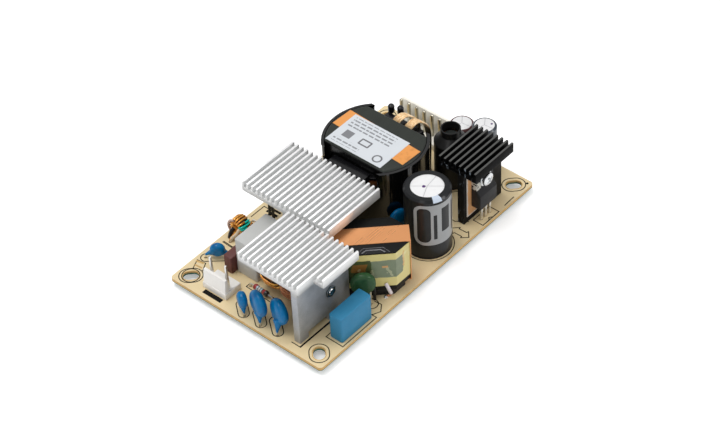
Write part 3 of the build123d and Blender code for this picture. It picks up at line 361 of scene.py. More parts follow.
@dataclass(frozen=True)
class Extruded(Finish):
    """Extruded metal: fine die lines along the fins, dull patches and small dents, with painted shade in the
    fin channels and painted highlights on the fin tips.
    """

    metal: float = 0.6
    lines: float = 0.006
    blotch: float = 0.08
    # Painted highlight colour of the fin tips, above the tip level.
    tip: Colour = (0.97, 0.97, 0.97)
    tip_level: float = 100.0
    # The plate's own colour; on the silver heatsinks its darker blue-grey is painted shade and reflection of
    # the same metal.
    plate: Colour = (0.5, 0.5, 0.5)
    plate_level: float = -100.0
    # Painted highlight streaks near the sawn end: their strength, how far along X they reach, and their tint.
    end_glint: float = 0.0
    end_glint_x: float = 28.2
    end_glint_tint: Colour = (0.34, 0.40, 0.46)
    shine: float = 0.5
    # Share of the colour left at the fin roots by the painted shade.
    valley_shade: float = 1.0

    def dress(self, surface: Surface) -> None:
        """Draws the die lines along X, darkens the fin channels with painted shade, paints highlights on the
        fin tips and on streaks near the sawn end, and mottles the plate below.

        Args:
            surface: Its shader tree.
        """
        line = surface.noise(0.4, 2.0, (0.01, 1.0, 1.0))
        patch = surface.noise(5.0, 3.0, (0.5, 1.0, 1.0))
        speck = surface.ease(surface.noise(0.5, 4.0), 0.56, 0.7)
        # Painted shade: the fins darken from the tip level down to the plate level; the die-line patches
        # blend towards the same darker colour.
        low = tuple(part * self.valley_shade for part in self.colour)
        fins = surface.mix(surface.ease(surface.z, self.plate_level, self.tip_level), low, self.colour)
        fins = surface.mix((line * 0.6 + patch * 0.4 - 0.5) * self.blotch * 4.0, fins, low)
        # The plate below keeps its own mottled colour, which on the silver heatsinks is painted shade and
        # reflection.
        plate = surface.tone(self.plate, surface.noise(7.0, 4.0) * 0.8 + speck * 0.2, 0.45)
        shade = surface.mix(surface.z < self.plate_level, fins, plate)
        # Painted highlights: bluish-grey upright streaks on the sawn end face of the black heatsink.
        glint_streak = surface.ease(surface.noise(1.3, 4.0, (1.0, 1.0, 0.35)), 0.55, 0.66)
        shade = surface.mix((surface.x < self.end_glint_x) * glint_streak * self.end_glint, shade, self.end_glint_tint)
        # Painted highlight: the fin tips above the tip level turn to the tip colour.
        tip_glint = surface.ease(surface.z, self.tip_level, self.tip_level + 0.25)
        surface.set(
            Base_Color=surface.mix(tip_glint, shade, self.tip),
            Metallic=self.metal,
            Specular_IOR_Level=self.shine,
            Roughness=(patch - 0.5) * 0.2 + (line - 0.5) * 0.12 + self.roughness,
        )
        surface.bump(line + speck * 0.5, self.lines)


@dataclass(frozen=True)
class Plated(Finish):
    """Tinned, zinc plated or bare metal that is small and worn unevenly."""

    grain: float = 0.6
    tarnish: Colour = (0.3, 0.28, 0.25)
    dull: float = 0.35

    def dress(self, surface: Surface) -> None:
        """Lets tarnish in along the grain.

        Args:
            surface: Its shader tree.
        """
        patch = surface.ease(surface.noise(self.grain * 3, 4.0), 0.42, 0.75)
        surface.set(
            Base_Color=surface.mix(patch * self.dull, self.colour, self.tarnish),
            Metallic=1.0,
            Roughness=surface.noise(self.grain) * 0.25 + self.roughness - 0.12,
        )
        surface.bump(surface.noise(self.grain, 3.0), 0.02)


@dataclass(frozen=True)
class Enamelled(Finish):
    """Enamelled copper wire: glossy lacquer over metal, deeper where it is thick."""

    deep: Colour = (0.2, 0.05, 0.01)
    metal: float = 0.55

    def dress(self, surface: Surface) -> None:
        """Varies the lacquer's depth along the wire.

        Args:
            surface: Its shader tree.
        """
        depth = surface.noise(1.4, 3.0)
        surface.set(
            Base_Color=surface.mix(surface.ease(depth, 0.35, 0.75), self.colour, self.deep),
            Metallic=self.metal,
            Roughness=surface.noise(0.5) * 0.2 + self.roughness - 0.1,
            Coat_Weight=0.5,
            Coat_Roughness=0.12,
        )
        surface.bump(surface.noise(0.4), 0.02)


@dataclass(frozen=True)
class ShadedStrands(Enamelled):
    """Strands whose lower ends are darkened with painted shade."""

    # Painted shade colour of the strands' lower ends, and the level it reaches.
    low_shade: Colour = (0.02, 0.012, 0.006)
    level: float = 27.0

    def dress(self, surface: Surface) -> None:
        """Paints shade on the strands below a ragged level.

        Args:
            surface: Its shader tree.
        """
        depth = surface.noise(1.0, 3.0)
        bare = surface.mix(surface.ease(depth, 0.4, 0.7), self.colour, self.deep)
        # Painted shade: below about the level, with a ragged edge, the strands turn near black.
        rise = surface.z + surface.noise(2.0) * 3.0
        above_shade = surface.ease(rise, self.level - 1.0, self.level + 1.5)
        surface.set(
            Base_Color=surface.mix(above_shade, self.low_shade, bare),
            Metallic=self.metal,
            Roughness=self.roughness,
            Coat_Weight=0.6,
            Coat_Roughness=0.1,
        )
        surface.bump(surface.noise(0.6), 0.05)


@dataclass(frozen=True)
class Pressed(Finish):
    """Pressed ferrite or ceramic: matt, speckled, with chipped pits."""

    speck: Colour = (0.25, 0.26, 0.25)
    film: Colour = (0.003, 0.003, 0.003)
    film_level: float = -100.0
    shine: float = 0.35

    def dress(self, surface: Surface) -> None:
        """Speckles the colour, pits the surface, and coats what lies below a level in black film.

        Args:
            surface: Its shader tree.
        """
        pits = surface.ease(surface.spots(0.9), 0.16, 0.05)
        cloud = surface.noise(3.5, 4.0)
        shade = surface.tone(self.colour, cloud, 0.28)
        shade = surface.mix(surface.ease(surface.noise(0.3), 0.62, 0.8) * 0.35, shade, self.speck)
        coated = surface.z < self.film_level
        surface.set(
            Base_Color=surface.mix(coated, shade, self.film),
            Roughness=(cloud - 0.5) * 0.2 + self.roughness - coated * 0.3,
            Specular_IOR_Level=self.shine,
        )
        surface.bump(surface.noise(0.4, 4.0) - pits * 0.8, 0.035)


@dataclass(frozen=True)
class Taped(Finish):
    """Polyester tape pulled round a piece: clear and creased, with darker patches behind it."""

    behind: Colour = (0.1, 0.12, 0.08)
    showing: float = 0.45

    def dress(self, surface: Surface) -> None:
        """Shows what is behind the tape in patches, and creases it.

        Args:
            surface: Its shader tree.
        """
        patch = surface.ease(surface.noise(5.5, 3.0, (1.0, 1.0, 0.8)), 0.5, 0.6) * self.showing
        surface.set(
            Base_Color=surface.mix(patch, self.colour, self.behind),
            Roughness=surface.noise(1.2) * 0.2 + self.roughness - 0.1,
            Coat_Weight=0.5,
            Coat_Roughness=0.1,
        )
        surface.bump(surface.noise(2.6, 3.0, (1.0, 1.0, 0.5)), 0.12)


@dataclass(frozen=True)
class Wrapped(Finish):
    """Glossy black film shrunk round the transformer: upright ripples and soft dents."""

    def dress(self, surface: Surface) -> None:
        """Ripples the film upright, and dulls its scuffs.

        Args:
            surface: Its shader tree.
        """
        ripple = surface.noise(2.6, 2.0, (1.0, 1.0, 0.12))
        scuff = surface.ease(surface.noise(1.5, 4.0), 0.6, 0.8)
        surface.set(Roughness=scuff * 0.25 + self.roughness, Coat_Weight=0.4, Coat_Roughness=0.05)
        surface.bump(ripple + scuff * 0.05, 0.35)


@dataclass(frozen=True)
class Laminate(Finish):
    """Paper laminate board: tan top, burnt orange cut edge, green lacquer under it with its traces."""

    edge: Colour = (0.60, 0.36, 0.11)
    lacquer: Colour = (0.012, 0.085, 0.045)
    trace: Colour = (0.018, 0.12, 0.065)
    edge_level: float = 0.38
    slot_rise: float = 0.5
    slot_half: float = 3.0

    def dress(self, surface: Surface) -> None:
        """Parts the colour by height and draws traces under the board.

        Args:
            surface: Its shader tree.
        """
        fibre = surface.noise(0.5, 4.0)
        stain = surface.noise(9.0, 3.0)
        top = surface.tone(self.colour, fibre * 0.5 + stain * 0.5, 0.11)
        side = surface.tone(self.edge, surface.noise(0.8, 4.0, (1.0, 1.0, 4.0)), 0.35)
        lane = surface.noise(9.0, 0.0, (1.0, 0.4, 1.0))
        copper = surface.ease(((lane * 5.0).apply("FRACT") - 0.5).apply("ABSOLUTE"), 0.1, 0.12)
        under = surface.mix(copper, self.lacquer, self.trace)
        face = surface.mix(surface.z > BOARD_TOP - 0.05, side, top)
        away = (surface.x.apply("ABSOLUTE") - SLOT_CENTRE[0]).apply("ABSOLUTE")
        aside = (surface.y.apply("ABSOLUTE") - SLOT_CENTRE[1]).apply("ABSOLUTE")
        level = (away < self.slot_half) * (aside < self.slot_half) * self.slot_rise + self.edge_level
        lower = (surface.z + fibre * 0.2 - level) < 0.0
        surface.set(
            Base_Color=surface.mix(lower, face, under),
            Roughness=(fibre - 0.5) * 0.2 + self.roughness - lower * 0.15,
        )
        surface.bump(fibre * 0.5 + copper * lower * 0.8, 0.03)


@dataclass(frozen=True)
class Vented(Finish):
    """The flat top of a can: bright metal, vent grooves pressed out from its middle with painted shade in
    them, an ink dot.
    """

    centre: Point = (0.0, 0.0)
    grooves: tuple[float, ...] = (20.0, 140.0, 260.0)
    groove_half: float = 0.13
    # Painted shade colour in the grooves.
    groove_shade: Colour = (0.42, 0.42, 0.44)
    dot: Place = (0.0, 0.0, 0.0)
    dot_ink: Colour = (0.09, 0.03, 0.16)

    def dress(self, surface: Surface) -> None:
        """Presses the grooves, paints shade in them, and inks the dot.

        Args:
            surface: Its shader tree.
        """
        x, y = surface.x - self.centre[0], surface.y - self.centre[1]
        groove = surface.z * 0.0
        for angle in self.grooves:
            turn = math.radians(angle)
            away = (x * math.sin(turn) - y * math.cos(turn)).apply("ABSOLUTE")
            ahead = (x * math.cos(turn) + y * math.sin(turn)) > 0.0
            groove = groove.apply("MAXIMUM", ahead * (away < self.groove_half))
        ragged = surface.away(x - self.dot[0], y - self.dot[1]) + surface.noise(0.4) * 0.25
        metal = surface.tone(self.colour, surface.noise(2.0), 0.05)
        # Painted shade in the grooves.
        shade = surface.mix(groove * 0.55, metal, self.groove_shade)
        surface.set(
            Base_Color=surface.mix(ragged < self.dot[2] + 0.12, shade, self.dot_ink),
            Metallic=0.35,
            Roughness=surface.noise(1.0) * 0.15 + self.roughness,
        )
        surface.bump(surface.noise(0.8) * 0.12 - groove, 0.12)


@dataclass(frozen=True)
class Printed(Finish):
    """A can's shrunk sleeve with a plain light panel and four dark bars on it, and a painted highlight over
    its rim.

    Each bar is its middle, half its width and height, and the radius of its corners.
    """

    centre: Point = (0.0, 0.0)
    radius: float = 9.2
    facing: float = -112.0
    middle: float = 19.3
    half: Point = (10.2, 10.2)
    corner: float = 4.0
    bars: tuple[tuple[Point, Point, float], ...] = (
        ((-6.1, 0.0), (2.7, 8.7), 2.4),
        ((-1.6, -1.2), (0.7, 6.2), 0.3),
        ((3.0, 1.5), (2.0, 6.0), 0.3),
        ((7.4, 0.0), (0.7, 7.4), 0.3),
    )
    panel: Colour = (0.34, 0.35, 0.355)
    # Colour of the painted highlight over the rim.
    rim_glint: Colour = (0.55, 0.62, 0.72)
    top: float = 31.4

    def dress(self, surface: Surface) -> None:
        """Prints the panel on the side and paints a highlight in a stripe over the rim.

        Args:
            surface: Its shader tree.
        """
        turn = math.radians(self.facing)
        x, y = surface.x - self.centre[0], surface.y - self.centre[1]
        ahead = x * math.cos(turn) + y * math.sin(turn)
        aside = y * math.cos(turn) - x * math.sin(turn)
        angle = aside.apply("ARCTAN2", ahead)
        u, v = angle * self.radius, surface.z - self.middle
        light = surface.panel(u, v, self.half, self.corner) < 0.0
        for (at_u, at_v), half, corner in self.bars:
            light = light * (1 - (surface.panel(u - at_u, v - at_v, half, corner) < 0.0))
        # Painted highlight: a stripe along the top of the sleeve, about its facing side.
        rim = (surface.z > self.top - 0.9) * (angle + 1.0).between(0.75, 1.15)
        dark = surface.tone(self.colour, surface.noise(4.0), 0.2)
        shade = surface.mix(light * (surface.z < self.top - 2.0), dark, self.panel)
        surface.set(
            Base_Color=surface.mix(rim, shade, self.rim_glint),
            Roughness=surface.noise(2.0) * 0.15 + self.roughness,
            Specular_IOR_Level=0.12,
            Coat_Weight=0.3,
            Coat_Roughness=0.06,
        )
        surface.bump(surface.noise(2.5, 2.0, (1.0, 1.0, 0.4)), 0.09)


@dataclass(frozen=True)
class Greased(Finish):
    """A tan insulating sheet with white paste squeezed out at its edges."""

    centre: Point = (37.0, 14.7)
    half: Point = (7.4, 10.1)
    paste: Colour = (0.70, 0.70, 0.66)

    def dress(self, surface: Surface) -> None:
        """Leaves a ragged line of paste along the edges.

        Args:
            surface: Its shader tree.
        """
        edge = surface.panel(surface.x - self.centre[0], surface.z - self.centre[1], self.half, 0.3)
        ragged = (edge + surface.noise(0.9, 4.0) * 1.3) > 0.15
        sheet = surface.tone(self.colour, surface.noise(2.0), 0.12)
        surface.set(Base_Color=surface.mix(ragged * 0.8, sheet, self.paste), Roughness=self.roughness)
        surface.bump(ragged, 0.1)


@dataclass(frozen=True)
class TabCase(Finish):
    """A moulded transistor case whose tab corners keep smudges of paste."""

    paste: Colour = (0.58, 0.56, 0.49)
    left_edge: float = 34.7
    left_span: Point = (17.9, 21.4)
    right_edge: float = 39.4
    right_foot: float = 22.6

    def dress(self, surface: Surface) -> None:
        """Smudges the two corners of the tab.

        Args:
            surface: Its shader tree.
        """
        left = (surface.x < self.left_edge) * surface.z.between(*self.left_span)
        right = (surface.x > self.right_edge) * (surface.z > self.right_foot)
        smudge = left.apply("MAXIMUM", right) * (surface.noise(1.1, 3.0) > 0.42)
        surface.set(
            Base_Color=surface.mix(smudge, self.colour, self.paste),
            Roughness=self.roughness,
            Specular_IOR_Level=0.3,
        )
        surface.bump(surface.noise(0.3), 0.012)


@dataclass(frozen=True)
class CoilTape(Finish):
    """Clear yellow tape over a wound bobbin: plain on top, the coil and patches behind it below.

    Each patch is its reach along the face, its reach down from the top, and its colour.
    """

    strip: float = 3.7
    coil: Colour = (0.16, 0.20, 0.115)
    coil_foot: float = 12.5
    coil_end: float = 11.4
    patches: tuple[tuple[Point, Point, Colour], ...] = (
        ((-100.0, -0.4), (3.2, 14.0), (0.055, 0.075, 0.022)),
        ((-7.5, -2.2), (5.0, 9.0), (0.24, 0.115, 0.025)),
        ((3.6, 6.2), (6.6, 7.5), (0.60, 0.30, 0.09)),
        ((11.4, 12.0), (2.2, 10.0), (0.62, 0.36, 0.11)),
    )
    glint: Colour = (0.80, 0.78, 0.48)

    def dress(self, surface: Surface) -> None:
        """Colours the tape by what lies behind it, along the face and down it.

        Args:
            surface: Its shader tree.
        """
        turn = math.radians(BOOST_TURN)
        x, y = surface.x - BOOST_CENTRE[0], surface.y - BOOST_CENTRE[1]
        along = x * math.cos(turn) + y * math.sin(turn) + (surface.noise(3.0) - 0.5) * 2.4
        down = (surface.z - BOOST_TOP) * -1.0 + (surface.noise(4.0) - 0.5) * 0.8
        coil = surface.tone(self.coil, surface.noise(2.5), 0.2)
        wound = down.between(self.strip, self.coil_foot) * (along < self.coil_end)
        shade = surface.mix(wound, self.colour, coil)
        for across, below, colour in self.patches:
            shade = surface.mix(along.between(*across) * down.between(*below), shade, colour)
        crease = surface.noise(2.2, 3.0, (1.0, 1.0, 0.5))
        ridge = crease + surface.ease(down, self.strip - 0.3, self.strip + 0.3) * -0.8
        surface.set(
            Base_Color=surface.mix((crease > 0.62) * 0.25, shade, self.glint),
            Roughness=surface.noise(1.2) * 0.2 + self.roughness,
            Specular_IOR_Level=0.35,
            Coat_Weight=0.35,
            Coat_Roughness=0.12,
        )
        surface.bump(ridge, 0.15)


@dataclass(frozen=True)
class Labelled(Finish):
    """A paper label with rows of plain grey bars, a round and a square outline and a plain block."""

    origin: Point = (17.5, 7.2)
    ink: Colour = (0.12, 0.12, 0.13)
    row_pitch: float = 1.75
    row_ink: Point = (0.3, 0.72)
    ring_radius: float = 1.75
    ring_half: float = 0.33
    outline: float = 0.7

    def dress(self, surface: Surface) -> None:
        """Prints rows of short bars of uneven length, the outlines and the block.

        Args:
            surface: Its shader tree.
        """
        u, v = (surface.y - self.origin[1]) * -1.0, surface.x - self.origin[0]
        rows = v / self.row_pitch + 20.0
        line = rows.apply("FLOOR")
        wave = ((u * 2.3 + line * 7.3).apply("SINE") + (u * 4.1 - line * 2.1).apply("SINE")) > -0.9
        upper = surface.panel(u + 1.6, v - 5.0, (10.4, 2.9), 0.1) < 0.0
        lower = surface.panel(u + 5.6, v + 6.2, (6.4, 1.5), 0.1) < 0.0
        bars = wave * rows.apply("FRACT").between(*self.row_ink) * upper.apply("MAXIMUM", lower)
        ring = (surface.away(u - 9.6, v + 5.6) - self.ring_radius).apply("ABSOLUTE") < self.ring_half
        square = surface.panel(u - 0.3, v + 1.7, (2.6, 1.8), 0.5).between(-self.outline, 0.0)
        block = surface.panel(u + 8.3, v + 1.7, (2.0, 2.0), 0.1) < 0.0
        marks = bars * 0.75
        for mark, strength in ((ring, 0.95), (square, 0.95), (block, 0.85)):
            marks = marks.apply("MAXIMUM", mark * strength)
        paper = surface.tone(self.colour, surface.noise(6.0), 0.03)
        surface.set(Base_Color=surface.mix(marks, paper, self.ink), Roughness=self.roughness)
        surface.bump(surface.noise(3.0, 3.0), 0.05)


@dataclass(frozen=True)
class Banded(Finish):
    """A moulded resistor body with colour bands across its axis, some of them painted highlights."""

    start: Place = (0.0, 0.0, 0.0)
    way: Place = (1.0, 0.0, 0.0)
    bands: tuple[tuple[float, float, Colour], ...] = ()

    def dress(self, surface: Surface) -> None:
        """Paints each band between two distances along the axis.

        Args:
            surface: Its shader tree.
        """
        along = (surface.x - self.start[0]) * self.way[0] + (surface.y - self.start[1]) * self.way[1]
        shade = surface.tone(self.colour, surface.noise(1.0), 0.06)
        for low, high, colour in self.bands:
            shade = surface.mix(along.between(low, high), shade, colour)
        surface.set(Base_Color=shade, Roughness=self.roughness, Coat_Weight=0.4, Coat_Roughness=0.1)
        surface.bump(surface.noise(0.6), 0.03)


class Look:
    """The object's finishes, each named once."""

    board = Laminate("board", (0.76, 0.61, 0.355), 0.46)
    ink = Moulded("ink", (0.008, 0.007, 0.006), 0.7, shine=0.1)
    bare_pad = Moulded("bare_pad", (0.62, 0.40, 0.15), 0.4, cloud=0.3)
    solder = Plated("solder", (0.74, 0.74, 0.73), 0.26)
    tin = Plated("tin", (0.88, 0.87, 0.84), 0.3, grain=0.4, dull=0.2)
    # The output pins' tin is darkened: a painted reflection of the dark transformer beside them.
    pin = Plated("pin", (0.46, 0.43, 0.35), 0.12, grain=0.2, dull=0.1)
    chip = Moulded("chip", (0.015, 0.015, 0.016), 0.5)
    white_nylon = Moulded("white_nylon", (0.86, 0.84, 0.80), 0.38, cloud=0.03)
    cream_nylon = Moulded("cream_nylon", (0.92, 0.89, 0.80), 0.4, cloud=0.04)
    fuse = Moulded("fuse", (0.13, 0.045, 0.04), 0.5, cloud=0.25)
    grey_box = Moulded("grey_box", (0.52, 0.525, 0.51), 0.5, cloud=0.05)
    blue_box = Moulded("blue_box", (0.028, 0.21, 0.38), 0.5, cloud=0.1, skin=0.02)
    blue_dip = Dipped("blue_dip", (0.0, 0.15, 0.37), 0.3, thin=(0.0, 0.06, 0.21))
    green_dip = Dipped("green_dip", (0.028, 0.082, 0.030), 0.55, thin=(0.01, 0.045, 0.018), wave=0.04)
    orange_wire = Enamelled("orange_wire", (0.95, 0.46, 0.07), 0.22, deep=(0.55, 0.16, 0.02))
    copper_wire = Enamelled("copper_wire", (0.66, 0.25, 0.10), 0.3, deep=(0.26, 0.07, 0.025))
    # Litz strands with painted shade on their lower parts.
    litz = ShadedStrands("litz", (0.93, 0.68, 0.38), 0.3, deep=(0.72, 0.38, 0.13), metal=0.2)
    teal_wire = Moulded("teal_wire", (0.0, 0.60, 0.48), 0.3, coat=0.4)
    pink_wire = Moulded("pink_wire", (0.52, 0.34, 0.27), 0.35, coat=0.3)
    beige_lead = Moulded("beige_lead", (0.66, 0.55, 0.40), 0.4, coat=0.2)
    # Lighter grey that paints the highlight on the boost bobbin flange's rim.
    worn_edge = Moulded("worn_edge", (0.20, 0.20, 0.21), 0.3)
    striped_sleeve = Taped("striped_sleeve", (0.66, 0.60, 0.62), 0.35, behind=(0.45, 0.10, 0.07))
    ferrite = Pressed("ferrite", (0.018, 0.021, 0.019), 0.5)
    grey_ferrite = Pressed("grey_ferrite", (0.008, 0.0085, 0.008), 0.42, speck=(0.03, 0.03, 0.03), shine=0.12)
    core_top = Pressed("core_top", (0.020, 0.024, 0.019), 0.5, speck=(0.06, 0.065, 0.055), film_level=30.3)
    # The copper band takes a little of the painted shade, a touch darker lower down.
    copper = Extruded("copper", (0.94, 0.42, 0.17), 0.3, lines=0.015, valley_shade=0.6)
    yellow_tape = CoilTape("yellow_tape", (0.66, 0.57, 0.21), 0.3)
    orange_tape = Taped("orange_tape", (0.76, 0.30, 0.06), 0.4, behind=(0.50, 0.17, 0.025))
    black_gloss = Moulded("black_gloss", (0.004, 0.004, 0.005), 0.25, skin=0.02, skin_size=1.2, coat=0.3)
    black_case = Moulded("black_case", (0.011, 0.011, 0.012), 0.5)
    black_sleeve = Moulded("black_sleeve", (0.006, 0.006, 0.006), 0.45, skin=0.03, skin_size=0.8, coat=0.12)
    wrap = Wrapped("wrap", (0.003, 0.003, 0.003), 0.12)
    # The silver heatsinks: the white fin tips are painted highlights, and the darker fin channels and plate
    # are painted shade and reflection.
    silver = Extruded(
        "silver", (0.84, 0.845, 0.84), 0.45, tip=(1.0, 1.0, 1.0), tip_level=31.1,
        plate=(0.43, 0.45, 0.48), plate_level=25.5, valley_shade=0.55,
    )
    # The black heatsink: grey fin tips and bluish streaks on its sawn end are painted highlights.
    black_metal = Extruded(
        "black_metal", (0.002, 0.002, 0.002), 0.55, metal=0.0, tip=(0.13, 0.13, 0.125), tip_level=30.74,
        plate=(0.010, 0.010, 0.010), plate_level=27.0, end_glint=0.5, shine=0.06,
    )
    screw = Plated("screw", (0.80, 0.82, 0.83), 0.16, grain=0.8, dull=0.2)
    nut = Plated("nut", (0.16, 0.20, 0.22), 0.22, grain=0.8)
    pad = Greased("pad", (0.66, 0.34, 0.14), 0.5)
    power_case = TabCase("power_case", (0.011, 0.011, 0.012), 0.5)
    label = Labelled("label", (0.62, 0.65, 0.68), 0.5)
    bulk_sleeve = Printed("bulk_sleeve", (0.010, 0.011, 0.012), 0.3, centre=BULK_CENTRE)
    bulk_top = Vented(
        "bulk_top", (0.86, 0.86, 0.86), 0.4, centre=BULK_CENTRE, grooves=(8.0, 128.0, 205.0, 308.0),
        dot=(-0.9, 0.9, 0.7),
    )
    brown_sleeve = Moulded("brown_sleeve", (0.075, 0.022, 0.022), 0.28, coat=0.4)
    dark_sleeve = Moulded("dark_sleeve", (0.045, 0.055, 0.07), 0.26, coat=0.4)


def placed(name: str, data: bpy.types.ID) -> bpy.types.Object:
    """Puts a mesh, a lamp or a camera into the scene.

    Args:
        name: The new object's name.
        data: The mesh, the lamp or the camera.

    Returns:
        The new object.
    """
    made = bpy.data.objects.new(name, data)
    bpy.context.scene.collection.objects.link(made)
    return made


class Kit:
    """Ways to turn mesh data into finished pieces of the object.

    A copy of a CAD node has points closer than merge made one, faces that differ by less than
    flat degrees joined, and edges sharper than keen degrees rounded. Pieces are smooth except
    over smooth degrees. A face is filled again where its triangles cover more than over_full
    times its area.
    """

    merge = 0.002
    flat = 0.3
    keen = 32.0
    smooth = 40.0
    over_full = 1.05

    @staticmethod
    def piece(name: str, mesh: bpy.types.Mesh, finish: Finish, slot: str, *nodes: str) -> bpy.types.Object:
        """Makes a mesh in metres into a piece that rides on the object.

        Args:
            name: The piece's name.
            mesh: Its mesh, in place.
            finish: What it looks like.
            slot: Not used.
            nodes: CAD nodes that it stands for.

        Returns:
            The new object.
        """
        mesh.materials.clear()
        mesh.materials.append(finish.material())
        made = placed(name, mesh)
        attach(made, "root")
        if nodes:
            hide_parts(*nodes)
        log.info("piece %s: %d faces, stands for %s", name, len(mesh.polygons), nodes or "nothing")
        return made

    @staticmethod
    def form(name: str, built: Shape, finish: Finish, slot: str, *nodes: str,
             smooth: float | None = smooth) -> bpy.types.Object:
        """Makes a shape built in millimetres into a piece that rides on the object.

        Args:
            name: The piece's name.
            built: Its shape, in place, which is used up.
            finish: What it looks like.
            slot: Not used.
            nodes: CAD nodes that it stands for.
            smooth: Up to which angle it is shaded smooth, or None for flat faces.

        Returns:
            The new object.
        """
        return Kit.piece(name, Kit.mesh(name, built, smooth), finish, slot, *nodes)

    @staticmethod
    def mesh(name: str, built: Shape, smooth: float | None = smooth) -> bpy.types.Mesh:
        """Makes a shape built in millimetres a mesh in metres.

        Args:
            name: The mesh's name.
            built: The shape, which is used up.
            smooth: Up to which angle it is shaded smooth, or None for flat faces.

        Returns:
            The mesh.
        """
        bmesh.ops.recalc_face_normals(built, faces=built.faces)
        data = bpy.data.meshes.new(name)
        built.to_mesh(data)
        built.free()
        data.transform(Matrix.Scale(MM, 4))
        if smooth is not None:
            data.shade_smooth()
            data.set_sharp_from_angle(angle=math.radians(smooth))
        return data

    @staticmethod
    def merged(node: str) -> Shape:
        """Copies a CAD node's mesh and joins its loose triangles.

        Args:
            node: The node's name.

        Returns:
            The copy, in metres.
        """
        built = bmesh.new()
        built.from_mesh(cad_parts[node].data)
        bmesh.ops.remove_doubles(built, verts=built.verts, dist=Kit.merge * MM)
        return built

    @staticmethod
    def applied(source: bpy.types.Object) -> bpy.types.Mesh:
        """Turns an object with modifiers into a plain mesh.

        Args:
            source: The object, which is removed.

        Returns:
            The mesh that its modifiers give.
        """
        shown = source.evaluated_get(bpy.context.evaluated_depsgraph_get())
        result = bpy.data.meshes.new_from_object(shown)
        bpy.data.objects.remove(source)
        return result

    @staticmethod
    def wear(finish: Finish, *nodes: str) -> None:
        """Gives CAD nodes that stay a finish."""
        for name in nodes:
            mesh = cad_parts[name].data
            mesh.materials.clear()
            mesh.materials.append(finish.material())
            log.info("node %s keeps its shape in %s", name, finish.name)

    @staticmethod
    def soften(node: str, finish: Finish, slot: str, width: float, segments: int = 2) -> bpy.types.Object:
        """Stands a copy of a CAD node with rounded edges in its place.

        Args:
            node: The CAD node that is copied and hidden.
            finish: What the copy looks like.
            slot: Not used.
            width: How far the rounding reaches from each edge.
            segments: Steps in each rounded edge.

        Returns:
            The rounded piece.
        """
        built = Kit.merged(node)
        bmesh.ops.dissolve_limit(
            built, angle_limit=math.radians(Kit.flat), verts=built.verts, edges=built.edges,
            use_dissolve_boundaries=False,
        )
        shared = [edge for edge in built.edges if len(edge.link_faces) == 2]
        bmesh.ops.bevel(
            built, geom=[edge for edge in shared if edge.calc_face_angle(0) > math.radians(Kit.keen)],
            offset=width * MM, offset_type="OFFSET", segments=segments, profile=0.5, affect="EDGES",
            clamp_overlap=True,
        )
        Kit.refill(built)
        data = bpy.data.meshes.new(node + "_rounded")
        built.to_mesh(data)
        built.free()
        data.shade_smooth()
        data.set_sharp_from_angle(angle=math.radians(Kit.smooth))
        return Kit.piece(node + "_rounded", data, finish, slot, node)

    @staticmethod
    def refill(built: Shape) -> None:
        """Fills again each flat face with holes in it, whose own triangles don't cover it rightly.

        Args:
            built: The shape that is mended.
        """
        covered: dict[bmesh.types.BMFace, float] = {}
        for loops in built.calc_loop_triangles():
            a, b, c = (loop.vert.co for loop in loops)
            covered[loops[0].face] = covered.get(loops[0].face, 0.0) + (b - a).cross(c - a).length / 2
        full = [face for face, area in covered.items() if area > face.calc_area() * Kit.over_full]
        bmesh.ops.delete(built, geom=[face for face in full if len(face.verts) > 6], context="FACES_ONLY")
        bmesh.ops.delete(built, geom=[e for e in built.edges if not e.link_faces], context="EDGES")
        rims = [e for e in built.edges if len(e.link_faces) == 1]
        if rims:
            bmesh.ops.triangle_fill(built, use_beauty=True, use_dissolve=False, edges=rims)
            bmesh.ops.recalc_face_normals(built, faces=built.faces)

    @staticmethod
    def spun(built: Shape, profile: list[Point], place: Matrix, steps: int = 48) -> None:
        """Adds a turned body.

        Args:
            built: What it is added to.
            profile: Its radius and height pairs, from one end to the other.
            place: Where its own Z axis stands.
            steps: How many sides it has.
        """
        rings = []
        for radius, height in profile:
            if radius < 1e-6:
                rings.append([built.verts.new(place @ Vector((0, 0, height)))])
                continue
            ring = []
            for k in range(steps):
                turn = 2 * math.pi * k / steps
                spot = Vector((radius * math.cos(turn), radius * math.sin(turn), height))
                ring.append(built.verts.new(place @ spot))
            rings.append(ring)
        for low, high in zip(rings, rings[1:]):
            for k in range(steps):
                nxt = (k + 1) % steps
                corners = [low[k % len(low)], low[nxt % len(low)], high[nxt % len(high)], high[k % len(high)]]
                unique = list(dict.fromkeys(corners))
                if len(unique) > 2:
                    built.faces.new(unique)

